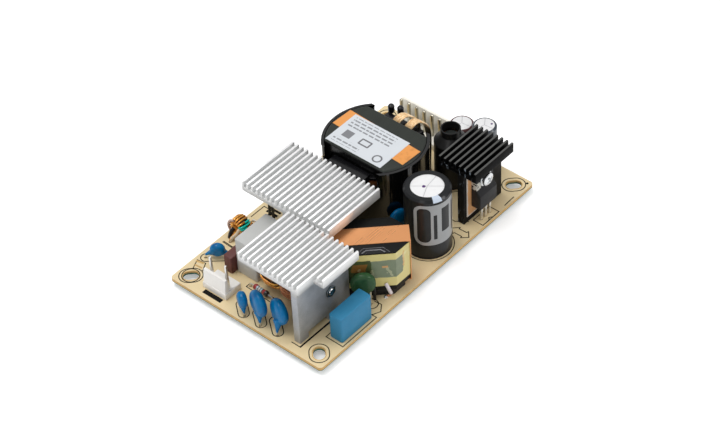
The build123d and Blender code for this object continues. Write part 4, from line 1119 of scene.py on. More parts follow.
    @staticmethod
    def stroke(
        built: Shape, points: list[Point], width: float, closed: bool, height: float
    ) -> None:
        """Adds an ink line that lies on the board.

        Args:
            built: What it is added to.
            points: The run of points that it follows.
            width: How broad it is.
            closed: Whether it runs back to its first point.
            height: How thick the ink is.
        """
        count = len(points)
        sides: list[tuple[Vector, Vector]] = []
        for k, at in enumerate(points):
            before = points[k - 1] if closed or k else at
            after = points[(k + 1) % count] if closed or k < count - 1 else at
            came = Vector((at[0] - before[0], at[1] - before[1]))
            goes = Vector((after[0] - at[0], after[1] - at[1]))
            came = came.normalized() if came.length > 1e-9 else goes.normalized()
            goes = goes.normalized() if goes.length > 1e-9 else came
            normal = Vector((-(came.y + goes.y), came.x + goes.x))
            normal = normal.normalized() if normal.length > 1e-6 else Vector((-came.y, came.x))
            reach = width / 2 / max(0.4, normal.dot(Vector((-came.y, came.x))))
            sides.append((Vector(at) + normal * reach, Vector(at) - normal * reach))
        low, high = BOARD_TOP, BOARD_TOP + height
        rows = []
        for left, right in sides:
            spots = [(*left, low), (*left, high), (*right, high), (*right, low)]
            rows.append([built.verts.new(spot) for spot in spots])
        for k in range(count if closed else count - 1):
            first, second = rows[k], rows[(k + 1) % count]
            for j in range(4):
                built.faces.new((first[j], second[j], second[(j + 1) % 4], first[(j + 1) % 4]))
        if not closed:
            built.faces.new(rows[0])
            built.faces.new(list(reversed(rows[-1])))

    @staticmethod
    def slab(built: Shape, points: list[Point], height: float, low: float = BOARD_TOP) -> None:
        """Adds an upright body of a given outline.

        Args:
            built: What it is added to.
            points: Its outline from above.
            height: How tall it is.
            low: The level of its foot.
        """
        lower = [built.verts.new((*at, low)) for at in points]
        upper = [built.verts.new((*at, low + height)) for at in points]
        built.faces.new(list(reversed(lower)))
        built.faces.new(upper)
        for k in range(len(points)):
            nxt = (k + 1) % len(points)
            built.faces.new((lower[k], lower[nxt], upper[nxt], upper[k]))

    @staticmethod
    def tube(built: Shape, points: list[Vector], radii: list[float] | float, sides: int) -> None:
        """Adds a closed round tube.

        Args:
            built: What it is added to.
            points: The run of points that it follows.
            radii: Its radius, or its radius at each point.
            sides: How many sides it has.
        """
        if isinstance(radii, float):
            radii = [radii] * len(points)
        rings = []
        frame_x = None
        for k, at in enumerate(points):
            ahead = (points[min(k + 1, len(points) - 1)] - points[max(k - 1, 0)]).normalized()
            if frame_x is None:
                frame_x = ahead.orthogonal().normalized()
            frame_x = (frame_x - ahead * frame_x.dot(ahead)).normalized()
            frame_y = ahead.cross(frame_x)
            ring = []
            for j in range(sides):
                turn = 2 * math.pi * j / sides
                out = frame_x * math.cos(turn) + frame_y * math.sin(turn)
                ring.append(built.verts.new(at + out * radii[k]))
            rings.append(ring)
        for low, high in zip(rings, rings[1:]):
            for j in range(sides):
                nxt = (j + 1) % sides
                built.faces.new((low[j], low[nxt], high[nxt], high[j]))
        built.faces.new(list(reversed(rings[0])))
        built.faces.new(rings[-1])

    @staticmethod
    def smooth_path(corners: list[Place], steps: int = 10) -> list[Vector]:
        """Draws a smooth curve through corners.

        Args:
            corners: The places that it passes through.
            steps: How many points it has from one corner to the next.

        Returns:
            The curve's points.
        """
        knots = [Vector(corner) for corner in corners]
        knots = [2 * knots[0] - knots[1], *knots, 2 * knots[-1] - knots[-2]]
        path = []
        for k in range(1, len(knots) - 2):
            a, b, c, d = knots[k - 1:k + 3]
            for j in range(steps):
                t = j / steps
                bend = (2 * a - 5 * b + 4 * c - d) * t ** 2 + (3 * b - a - 3 * c + d) * t ** 3
                path.append(0.5 * (2 * b + (c - a) * t + bend))
        path.append(knots[-2])
        return path


class InputKind(Enum):
    """The kinds of named input that a geometry group takes."""

    NUMBER = "NodeSocketFloat"
    COUNT = "NodeSocketInt"
    MATERIAL = "NodeSocketMaterial"
    OBJECT = "NodeSocketObject"


class Group(Graph):
    """A geometry group with named inputs, a way to run it, and no modifier left behind."""

    def __init__(self, name: str, **inputs: InputKind) -> None:
        """Starts the group.

        Args:
            name: The group's name.
            inputs: The kind of each named input.
        """
        tree = bpy.data.node_groups.new(name, "GeometryNodeTree")
        super().__init__(tree)
        tree.interface.new_socket("Geometry", in_out="INPUT", socket_type="NodeSocketGeometry")
        tree.interface.new_socket("Geometry", in_out="OUTPUT", socket_type="NodeSocketGeometry")
        for title, kind in inputs.items():
            tree.interface.new_socket(title, in_out="INPUT", socket_type=kind.value)
        self.given = self.node("NodeGroupInput")
        self.result = self.node("NodeGroupOutput")

    def take(self, title: str) -> Socket:
        """The socket of a named input."""
        return Socket(self, self.given.outputs[title])

    def close(self, geometry: bpy.types.NodeSocket) -> None:
        """Ends the group in Realize Instances and Set Material.

        Args:
            geometry: What the group has made.
        """
        real = self.node("GeometryNodeRealizeInstances", inputs={0: geometry})
        smooth = self.node("GeometryNodeSetShadeSmooth", inputs={"Geometry": real.outputs[0]})
        values = {"Geometry": smooth.outputs[0], "Material": self.take("Material")}
        dressed = self.node("GeometryNodeSetMaterial", inputs=values)
        self.tree.links.new(dressed.outputs[0], self.result.inputs[0])

    def run(self, start: bpy.types.Mesh, **values: object) -> bpy.types.Mesh:
        """Runs the group.

        Args:
            start: The mesh that it starts from.
            values: What its named inputs are set to.

        Returns:
            The plain mesh that it makes.
        """
        host = placed("host", start)
        modifier = host.modifiers.new("group", "NODES")
        modifier.node_group = self.tree
        for item in self.tree.interface.items_tree:
            if item.in_out == "INPUT" and item.name in values:
                modifier[item.identifier] = values[item.name]
        return Kit.applied(host)


def winding_group() -> Group:
    """A group that winds a wire round part of a ring whose section is a rounded box.

    Returns:
        The group, with inputs for the ring's middle radius, half the section's depth and width,
        the wire's radius, its turns and points, and where it starts and how far round it goes.
    """
    numbers = ("Turns", "Ring", "Depth", "Width", "Wire", "Start", "Sweep")
    group = Group(
        "winding", Steps=InputKind.COUNT, Material=InputKind.MATERIAL,
        **dict.fromkeys(numbers, InputKind.NUMBER),
    )
    squareness, sides = 1.12, 10
    line = group.node("GeometryNodeMeshLine", inputs={"Count": group.take("Steps")})
    index = Socket(group, group.node("GeometryNodeInputIndex").outputs[0])
    share = index / (group.take("Steps") - 1.0)
    around = group.take("Start") + group.take("Sweep") * share
    section = group.take("Turns") * share * (2 * math.pi)
    deep = (section.apply("COSINE") * squareness).held(-1.0, 1.0)
    wide = (section.apply("SINE") * squareness).held(-1.0, 1.0)
    radius = group.take("Ring") + group.take("Depth") * deep
    across, back = radius * around.apply("COSINE"), radius * around.apply("SINE")
    values = {0: across, 1: back, 2: group.take("Width") * wide}
    place = group.node("ShaderNodeCombineXYZ", inputs=values)
    values = {"Geometry": line.outputs[0], "Position": place.outputs[0]}
    moved = group.node("GeometryNodeSetPosition", inputs=values)
    curve = group.node("GeometryNodeMeshToCurve", inputs={0: moved.outputs[0]})
    values = {"Resolution": sides, "Radius": group.take("Wire")}
    circle = group.node("GeometryNodeCurvePrimitiveCircle", inputs=values)
    tube = group.node(
        "GeometryNodeCurveToMesh",
        inputs={"Curve": curve.outputs[0], "Profile Curve": circle.outputs[0], "Fill Caps": True},
    )
    group.close(tube.outputs[0])
    return group


def scatter_group() -> Group:
    """A group that stands a model on each vertex, turned and sized a little by chance.

    Returns:
        The group, with inputs for the model, the seed, and the least and the most size.
    """
    group = Group(
        "scatter", Model=InputKind.OBJECT, Seed=InputKind.COUNT, Least=InputKind.NUMBER,
        Most=InputKind.NUMBER, Material=InputKind.MATERIAL,
    )
    model = group.node("GeometryNodeObjectInfo", inputs={"Object": group.take("Model")})
    settings, seed = {"data_type": "FLOAT"}, group.take("Seed")
    turn = group.node("FunctionNodeRandomValue", settings, {2: 0.0, 3: 2 * math.pi, "Seed": seed})
    values = {2: group.take("Least"), 3: group.take("Most"), "Seed": seed}
    size = group.node("FunctionNodeRandomValue", settings, values)
    turned = group.node("ShaderNodeCombineXYZ", inputs={2: turn.outputs[1]})
    rotation = group.node("FunctionNodeEulerToRotation", inputs={0: turned.outputs[0]})
    copies = group.node(
        "GeometryNodeInstanceOnPoints",
        inputs={
            "Points": group.given.outputs[0], "Instance": model.outputs["Geometry"],
            "Rotation": rotation.outputs[0], "Scale": size.outputs[1],
        },
    )
    group.close(copies.outputs[0])
    return group


def row_group() -> Group:
    """A group that repeats a model in an even row along X.

    Returns:
        The group, with inputs for the model, the number of copies and their pitch.
    """
    group = Group(
        "row", Model=InputKind.OBJECT, Number=InputKind.COUNT, Pitch=InputKind.NUMBER,
        Material=InputKind.MATERIAL,
    )
    model = group.node("GeometryNodeObjectInfo", inputs={"Object": group.take("Model")})
    step = group.node("ShaderNodeCombineXYZ", inputs={0: group.take("Pitch")})
    values = {"Count": group.take("Number"), "Offset": step.outputs[0]}
    line = group.node("GeometryNodeMeshLine", inputs=values)
    values = {"Points": line.outputs[0], "Instance": model.outputs["Geometry"]}
    copies = group.node("GeometryNodeInstanceOnPoints", inputs=values)
    group.close(copies.outputs[0])
    return group


def turned(at: Place, facing: Place) -> Matrix:
    """A matrix that stands a body's own Z axis along a direction at a place."""
    return Matrix.Translation(Vector(at)) @ Vector(facing).to_track_quat("Z", "Y").to_matrix().to_4x4()


@dataclass
class Board:
    """The circuit board: its finish, its printed outlines, bare pads and solder under it."""

    ink_width: float = 0.38
    ink_height: float = 0.03
    slot_reach: float = 0.925
    slot_ring: float = 3.75
    slot_pad: float = 2.62
    slot_hole: float = 2.28
    chip_leg_pitch: float = 1.27
    chip_leg_count: int = 7

    def outline(self, first: Point, second: Point, radius: float, steps: int = 14) -> list[Point]:
        """Draws an oblong with round ends, or a ring where both centres are one.

        Args:
            first: The centre of one end.
            second: The centre of the other end.
            radius: The radius of the ends.
            steps: How many points each end has.

        Returns:
            The outline's points.
        """
        turn = math.atan2(second[1] - first[1], second[0] - first[0])
        points = []
        for centre, offset in ((second, -math.pi / 2), (first, math.pi / 2)):
            for k in range(steps + 1):
                angle = turn + offset + math.pi * k / steps
                points.append((centre[0] + radius * math.cos(angle), centre[1] + radius * math.sin(angle)))
        return points

    def slots(self) -> list[tuple[Point, Point]]:
        """Works out where the corner slots are.

        Returns:
            The two ends of each slot's centre line.
        """
        found = []
        reach = self.slot_reach * math.sqrt(0.5)
        for side_x in (-1, 1):
            for side_y in (-1, 1):
                ends = [
                    (side_x * (SLOT_CENTRE[0] + way * reach), side_y * (SLOT_CENTRE[1] + way * reach))
                    for way in (-1, 1)
                ]
                found.append(tuple(ends))
        return found

    def print_outlines(self) -> None:
        """Prints the outlines of the parts, in plain lines."""
        built = bmesh.new()
        closed = [self.outline(*ends, self.slot_ring) for ends in self.slots()]
        closed.append(self.outline((-57.9, 32.5), (-57.9, 32.5), 3.5, 24))
        for near, far, radius in (
            ((-60.2, 3.0), (-57.0, 7.0), 2.1), ((-60.0, -5.6), (-56.5, -1.0), 2.1),
            ((-59.4, -13.5), (-55.6, -8.6), 2.1), ((-47.2, 34.6), (-41.2, 27.6), 2.1),
            ((8.2, -13.2), (12.2, -14.8), 2.2), ((-30.2, -27.2), (-26.6, -31.0), 2.6),
            ((45.2, -11.3), (45.2, -11.3), 7.4), (BULK_CENTRE, BULK_CENTRE, 9.9),
        ):
            closed.append(self.outline(near, far, radius, 20))
        closed += [
            [(-50.0, -37.1), (-30.9, -37.1), (-30.9, -28.9), (-50.0, -28.9)],
            [(32.3, -37.4), (42.2, -37.4), (42.2, -32.6), (32.3, -32.6)],
            [
                (23.7, -28.9), (25.9, -31.2), (25.1, -31.4), (25.3, -34.9), (26.1, -35.2), (23.7, -37.3),
                (21.6, -34.9), (22.4, -34.7), (22.3, -31.3), (21.5, -31.0),
            ],
            [(-49.1, 11.9), (-47.0, 11.9), (-47.2, -2.0), (-49.6, -2.0)],
        ]
        open_runs = [
            [(-54.4, 34.6), (-50.2, 36.4), (-49.6, 32.6), (-53.4, 30.6)],
            [(-59.9, -20.6), (-59.9, -24.6)],
            [(-36.4, 35.6), (-36.6, 30.4), (-34.6, 30.2)],
            [(-36.9, 35.6), (-37.1, 30.0), (-34.6, 29.7)],
            [(-30.9, -34.9), (-27.6, -36.4), (-24.6, -34.2), (-24.9, -31.0)],
            [(-19.8, 36.4), (-12.2, 36.4), (-12.2, 31.4)],
            [(28.8, -22.6), (27.4, -24.0), (27.4, -27.6), (30.6, -31.9)],
            [(46.2, -37.0), (52.4, -36.8)],
            [(36.0, -37.4), (37.2, -36.4), (38.4, -37.4)],
            [(52.9, -1.6), (52.9, -13.0), (61.6, -13.0)],
        ]
        for runs, shut in ((closed, True), (open_runs, False)):
            for run in runs:
                Kit.stroke(built, run, self.ink_width, shut, self.ink_height)
        Kit.slab(built, [(-60.1, -25.3), (-41.5, -25.5), (-41.5, -24.7), (-60.1, -24.6)], self.ink_height)
        for low, high, near, far in (
            (-61.7, -59.7, 13.8, 23.0), (-13.9, -12.8, 28.4, 34.0), (-11.9, -10.8, 28.4, 34.0),
        ):
            Kit.slab(built, [(low, near), (high, near), (high, far), (low, far)], self.ink_height)
        Kit.slab(built, self.outline((61.7, -36.2), (61.7, -36.2), 0.55), self.ink_height)
        Kit.form("board_print", built, Look.ink, "board", smooth=None)

    def bare_pads(self) -> None:
        """Lays the bare copper rings round the corner slots and two solder marks."""
        built = bmesh.new()
        for ends in self.slots():
            run = self.outline(*ends, (self.slot_pad + self.slot_hole) / 2)
            Kit.stroke(built, run, self.slot_pad - self.slot_hole, True, self.ink_height * 0.6)
        for mark in (
            [(-51.2, 36.4), (-50.4, 36.5), (-49.7, 33.2), (-50.5, 33.0)],
            [(-53.1, 35.3), (-52.4, 35.4), (-52.0, 32.1), (-52.7, 31.9)],
        ):
            Kit.slab(built, mark, self.ink_height * 2)
        Kit.form("bare_pads", built, Look.bare_pad, "board", smooth=None)

    def solder_points(self) -> bpy.types.Mesh:
        """Finds the middle of each solder joint of the frame.

        Returns:
            A mesh with one vertex on the board's underside for each joint.
        """
        built = Kit.merged("solder_joints")
        points, seen = [], set()
        for start in built.verts:
            if start.index in seen:
                continue
            island, queue = [], [start]
            seen.add(start.index)
            while queue:
                vertex = queue.pop()
                island.append(vertex.co.copy())
                for edge in vertex.link_edges:
                    other = edge.other_vert(vertex)
                    if other.index not in seen:
                        seen.add(other.index)
                        queue.append(other)
            points.append(sum(island, Vector()) / len(island))
        built.free()
        mesh = bpy.data.meshes.new("solder_points")
        mesh.from_pydata([(p.x, p.y, 0.0) for p in points], [], [])
        return mesh

    def solder(self) -> None:
        """Hangs a smooth cone of solder at each lead under the board."""
        built = bmesh.new()
        profile = [
            (0.0, 0.0), (1.15, 0.0), (1.0, -0.12), (0.72, -0.42), (0.56, -0.75), (0.5, -1.0), (0.30, -1.12),
            (0.0, -1.15),
        ]
        Kit.spun(built, profile, Matrix.Identity(4), 14)
        model = bpy.data.objects.new("solder_model", Kit.mesh("solder_model", built))
        mesh = scatter_group().run(
            self.solder_points(), Model=model, Seed=4, Least=0.88, Most=1.08, Material=Look.solder.material()
        )
        bpy.data.objects.remove(model)
        Kit.piece("solder_cones", mesh, Look.solder, "solder", "solder_joints")

    def chips(self) -> None:
        """Rounds the chips under the board and gives two of them rows of legs."""
        Kit.soften("underside_chips", Look.chip, "chip", 0.15)
        built = bmesh.new()
        for side in (-1, 1):
            for near, far, low, high in (
                (3.0, 3.6, -0.9, -0.7), (3.45, 3.65, -0.9, -0.02), (3.6, 4.4, -0.14, 0.0),
            ):
                section = [(-0.2, side * near), (0.2, side * near), (0.2, side * far), (-0.2, side * far)]
                Kit.slab(built, section, high - low, low)
        model = bpy.data.objects.new("leg_model", Kit.mesh("leg_model", built, None))
        legs = row_group()
        for name, start, spread in (("main", (-23.8, -3.0), 1.0), ("output", (26.2, 20.0), 0.68)):
            mesh = legs.run(
                bpy.data.meshes.new("start"), Model=model, Number=self.chip_leg_count,
                Pitch=self.chip_leg_pitch * MM, Material=Look.tin.material(),
            )
            mesh.transform(Matrix.Translation(Vector((*start, 0)) * MM) @ Matrix.Diagonal((1, spread, 1, 1)))
            Kit.piece(name + "_chip_legs", mesh, Look.tin, "tin")
        bpy.data.objects.remove(model)

    def build(self) -> None:
        """Dresses the board and adds what lies on it and under it."""
        Kit.wear(Look.board, "circuit_board")
        self.print_outlines()
        self.bare_pads()
        self.solder()
        self.chips()


@dataclass
class InletEnd:
    """The mains inlet, the fuse and the boxed capacitors at the inlet end."""

    def build(self) -> None:
        """Rounds the moulded parts and dresses the leads."""
        Kit.soften("inlet_housing", Look.white_nylon, "white_nylon", 0.22)
        Kit.soften("inlet_pins", Look.tin, "tin", 0.12)
        Kit.soften("fuse_case", Look.fuse, "fuse_plastic", 0.2)
        Kit.soften("x_capacitor_case", Look.grey_box, "grey_plastic", 0.45, 3)
        Kit.soften("film_capacitor_case", Look.blue_box, "blue_plastic", 0.4, 3)
        Kit.wear(Look.tin, "part_leads", "disc_leads", "resistor_leads", "thermistor_leads", "wire_link")


@dataclass(frozen=True)
class Disc:
    """One dipped disc: its leads' places, its size and how it stands."""

    node: str
    near: Point
    far: Point
    centre: Place
    diameter: float
    thickness: float
    facing: float


@dataclass
class Discs:
    """The dipped disc capacitors and the thermistor."""

    foot: float = 1.5
    voxel: float = 0.16
    tail: float = 0.42
    skin: float = 0.05
    belly: float = 0.62

    def table(self) -> list[Disc]:
        """Works out the discs of the frame.

        Each row is the disc's node, its first lead's place, the way and the distance to its
        second lead, its diameter, thickness, height and facing, and how far it leans forward.

        Returns:
            The discs.
        """
        rows = (
            ("inlet_disc", (-47.2, 34.85), -50.0, 9.7, 6.2, 3.6, 4.0, -50.0, 0.0),
            ("line_discs", (-60.9, 2.0), 52.0, 6.4, 6.8, 3.8, 5.5, 58.0, 0.0),
            ("line_discs", (-61.0, -6.05), 45.0, 7.5, 11.0, 4.6, 8.0, 68.0, 0.0),
            ("line_discs", (-60.8, -14.4), 49.0, 7.5, 10.8, 4.7, 8.0, 70.0, 1.9),
            ("snubber_disc", (7.7, -13.0), -20.0, 5.0, 8.0, 2.8, 7.4, -20.0, 0.0),
        )
        found = []
        for node, near, way, pitch, diameter, thickness, height, facing, lean in rows:
            turn, face = math.radians(way), math.radians(facing)
            far = (near[0] + pitch * math.cos(turn), near[1] + pitch * math.sin(turn))
            x = (near[0] + far[0]) / 2 + lean * math.sin(face)
            y = (near[1] + far[1]) / 2 - lean * math.cos(face)
            found.append(Disc(node, near, far, (x, y, BOARD_TOP + height), diameter, thickness, facing))
        return found

    def dipped(self, disc: Disc) -> bpy.types.Mesh:
        """Melts a lens and two drawn out tails into one skin.

        Args:
            disc: The disc that is made.

        Returns:
            Its mesh in metres, in place.
        """
        built = bmesh.new()
        face = math.radians(disc.facing)
        across = (math.sin(face), -math.cos(face), 0.0)
        radius, half = disc.diameter / 2 - self.skin, disc.thickness / 2 - self.skin
        profile = []
        for k in range(13):
            t = math.pi * k / 12
            height = -half * math.copysign(abs(math.cos(t)) ** 0.9, math.cos(t))
            profile.append((radius * math.sin(t) ** self.belly, height))
        profile[0], profile[-1] = (0.0, -half), (0.0, half)
        Kit.spun(built, profile, turned(disc.centre, across), 40)
        for lead in (disc.near, disc.far):
            low = Vector((*lead, BOARD_TOP + self.foot))
            heart = Vector(disc.centre)
            rim = heart + (low - heart).normalized() * radius * self.belly
            points = [low.lerp(rim, k / 8) for k in range(9)]
            radii = [self.tail + (half * 0.92 - self.tail) * (k / 8) ** 1.3 for k in range(9)]
            Kit.tube(built, points, radii, 14)
        made = placed("disc", Kit.mesh("disc", built))
        remesh = made.modifiers.new("skin", "REMESH")
        remesh.mode = "VOXEL"
        remesh.voxel_size = self.voxel * MM
        remesh.use_smooth_shade = True
        relax = made.modifiers.new("relax", "SMOOTH")
        relax.factor = 0.6
        relax.iterations = 6
        return Kit.applied(made)

    def build(self) -> None:
        """Dips every disc and adds the thermistor."""
        groups: dict[str, Shape] = {}
        for disc in self.table():
            built = groups.setdefault(disc.node, bmesh.new())
            built.from_mesh(self.dipped(disc))
        for node, built in groups.items():
            data = bpy.data.meshes.new(node + "_dipped")
            built.to_mesh(data)
            built.free()
            data.shade_smooth()
            Kit.piece(node + "_dipped", data, Look.blue_dip, "blue_coating", node)
        self.thermistor()

    def thermistor(self) -> None:
        """Turns the thermistor's body, which faces the same way as the boost inductor."""
        built = bmesh.new()
        turn = math.radians(BOOST_TURN)
        half = [(0.0, 1.7), (3.4, 1.7), (4.2, 1.55), (4.65, 1.1), (4.8, 0.4)]
        profile = [(radius, -height) for radius, height in half] + half[::-1]
        place = turned((-28.5, -29.0, BOARD_TOP + 11.0), (math.sin(turn), -math.cos(turn), 0.0))
        Kit.spun(built, profile, place, 64)
        Kit.form("thermistor_body", built, Look.green_dip, "green_coating", "thermistor_disc", smooth=60.0)


@dataclass
class Resistor:
    """The discharge resistor that lies behind the discs.

    Each band is where it starts and ends along the body, from the middle, and its colour.
    """

    first: Point = (-47.9, 10.9)
    second: Point = (-48.4, -0.9)
    height: float = 1.6
    length: float = 7.3
    radius: float = 1.15
    red: Colour = (0.30, 0.012, 0.015)
    black: Colour = (0.012, 0.012, 0.014)
    # Pale blue of the painted highlights on the glossy body.
    band_highlight: Colour = (0.36, 0.50, 0.56)

    def build(self) -> None:
        """Turns the body with its two bumps and paints its bands, among them painted highlights."""
        first, second = Vector((*self.first, 0.0)), Vector((*self.second, 0.0))
        way = tuple((second - first).normalized())
        middle = tuple((first + second) / 2 + Vector((0.0, 0.0, BOARD_TOP + self.height)))
        side = [
            (radius, along - self.length / 2) for radius, along in (
                (0.0, 0.0), (0.6, 0.03), (0.98, 0.25), (self.radius, 0.8), (self.radius * 0.98, 1.5),
                (0.95, 2.1),
            )
        ]
        built = bmesh.new()
        profile = side + [(radius, -height) for radius, height in reversed(side)]
        Kit.spun(built, profile, turned(middle, way), 32)
        # The grey-white body colour and the pale blue bands are painted highlights on a dark glossy body.
        finish = Banded(
            "resistor", (0.50, 0.49, 0.47), 0.35, start=middle, way=way,
            bands=(
                (-3.7, -1.9, self.red), (-1.9, -1.35, self.band_highlight), (-1.35, -1.0, self.black),
                (-0.25, 0.1, self.black), (0.1, 0.75, self.band_highlight), (0.75, 1.1, self.black),
                (1.1, 2.2, self.red), (2.2, 3.7, self.black),
            ),
        )
        Kit.form("resistor_body", built, finish, "resistor_body", "discharge_resistor", smooth=60.0)


@dataclass(frozen=True)
class Coil:
    """One coil of a ring choke.

    It has the core's inner and outer radius and its length, the wire's diameter, the number of
    turns, where they start and how far round they go in degrees, and the wire's finish.
    """

    name: str
    ring: Point
    width: float
    wire: float
    turns: float
    start: float
    sweep: float
    finish: Finish
    nodes: tuple[str, ...] = ()


@dataclass
class Chokes:
    """The three ring chokes and their wire."""

    steps_a_turn: int = 18
    small_ring: Point = (1.6, 3.1)
    small_width: float = 4.2
    small_centre: Place = (-28.4, 33.6, 5.57)

    def wind(self, group: Group, coil: Coil, place: Matrix) -> None:
        """Winds one coil and stands it in its place.

        Args:
            group: The winding group.
            coil: The coil that is wound.
            place: Where its ring's own Z axis stands, in millimetres.
        """
        low, high = coil.ring
        mesh = group.run(
            bpy.data.meshes.new("start"), Turns=coil.turns, Steps=int(coil.turns * self.steps_a_turn) + 1,
            Ring=(low + high) / 2 * MM, Depth=((high - low) / 2 + coil.wire / 2) * MM,
            Width=(coil.width / 2 + coil.wire / 2) * MM, Wire=coil.wire / 2 * MM,
            Start=math.radians(coil.start), Sweep=math.radians(coil.sweep), Material=coil.finish.material(),
        )
        place = place.copy()
        place.translation *= MM
        mesh.transform(place)
        Kit.piece(coil.name, mesh, coil.finish, "choke_wire", *coil.nodes)

    def build(self) -> None:
        """Winds the chokes and dresses their cores and leads."""
        group = winding_group()
        stand = turned(self.small_centre, (1.0, 0.0, 0.0))
        for coil in (
            Coil("small_choke_orange", self.small_ring, self.small_width, 0.78, 15.0, 176.0, 316.0,
                 Look.orange_wire, ("small_choke_winding",)),
            Coil("small_choke_teal", self.small_ring, self.small_width, 0.78, 2.0, 136.0, 36.0,
                 Look.teal_wire),
        ):
            self.wind(group, coil, stand)
        for x, y, coil in (
            (-39.8, 2.95, Coil("line_choke_rear", (3.2, 6.4), 6.9, 1.05, 15.0, 100.0, 340.0, Look.orange_wire,
                               ("line_choke_windings",))),
            (-40.9, -6.25, Coil("line_choke_front", (2.6, 5.6), 5.3, 0.8, 34.0, 100.0, 340.0,
                                Look.copper_wire)),
        ):
            height = BOARD_TOP + coil.ring[1] + coil.wire + 0.12
            self.wind(group, coil, turned((x, y, height), (0.0, -1.0, 0.0)))
        Kit.wear(Look.ferrite, "small_choke_core", "line_choke_cores")
        Kit.wear(Look.orange_wire, "choke_leads")
        self.small_choke_ends()

    def small_choke_ends(self) -> None:
        """Adds the sleeved ends that come down from the small choke, and its outer turn."""
        lead = ((-31.3, 31.4, 6.4), (-32.6, 31.9, 4.6), (-34.0, 32.9, 3.2), (-35.0, 33.3, 1.7))
        sleeve = ((-31.2, 34.6, 5.2), (-32.6, 34.9, 3.9), (-33.6, 34.9, 1.7))
        _, middle, level = self.small_centre
        turn = []
        for k in range(18):
            angle = math.radians(-125 + 12 * k)
            turn.append(Vector((-31.2, middle + 3.75 * math.cos(angle), level + 3.75 * math.sin(angle))))
        for name, path, radius, finish, slot in (
            ("small_choke_lead", Kit.smooth_path(lead), 0.62, Look.beige_lead, "choke_wire"),
            ("small_choke_sleeve", Kit.smooth_path(sleeve), 0.8, Look.black_sleeve, "black_sleeve"),
            ("small_choke_outer_turn", turn, 0.5, Look.pink_wire, "choke_wire"),
        ):
            built = bmesh.new()
            Kit.tube(built, path, radius, 12)
            Kit.form(name, built, finish, slot)


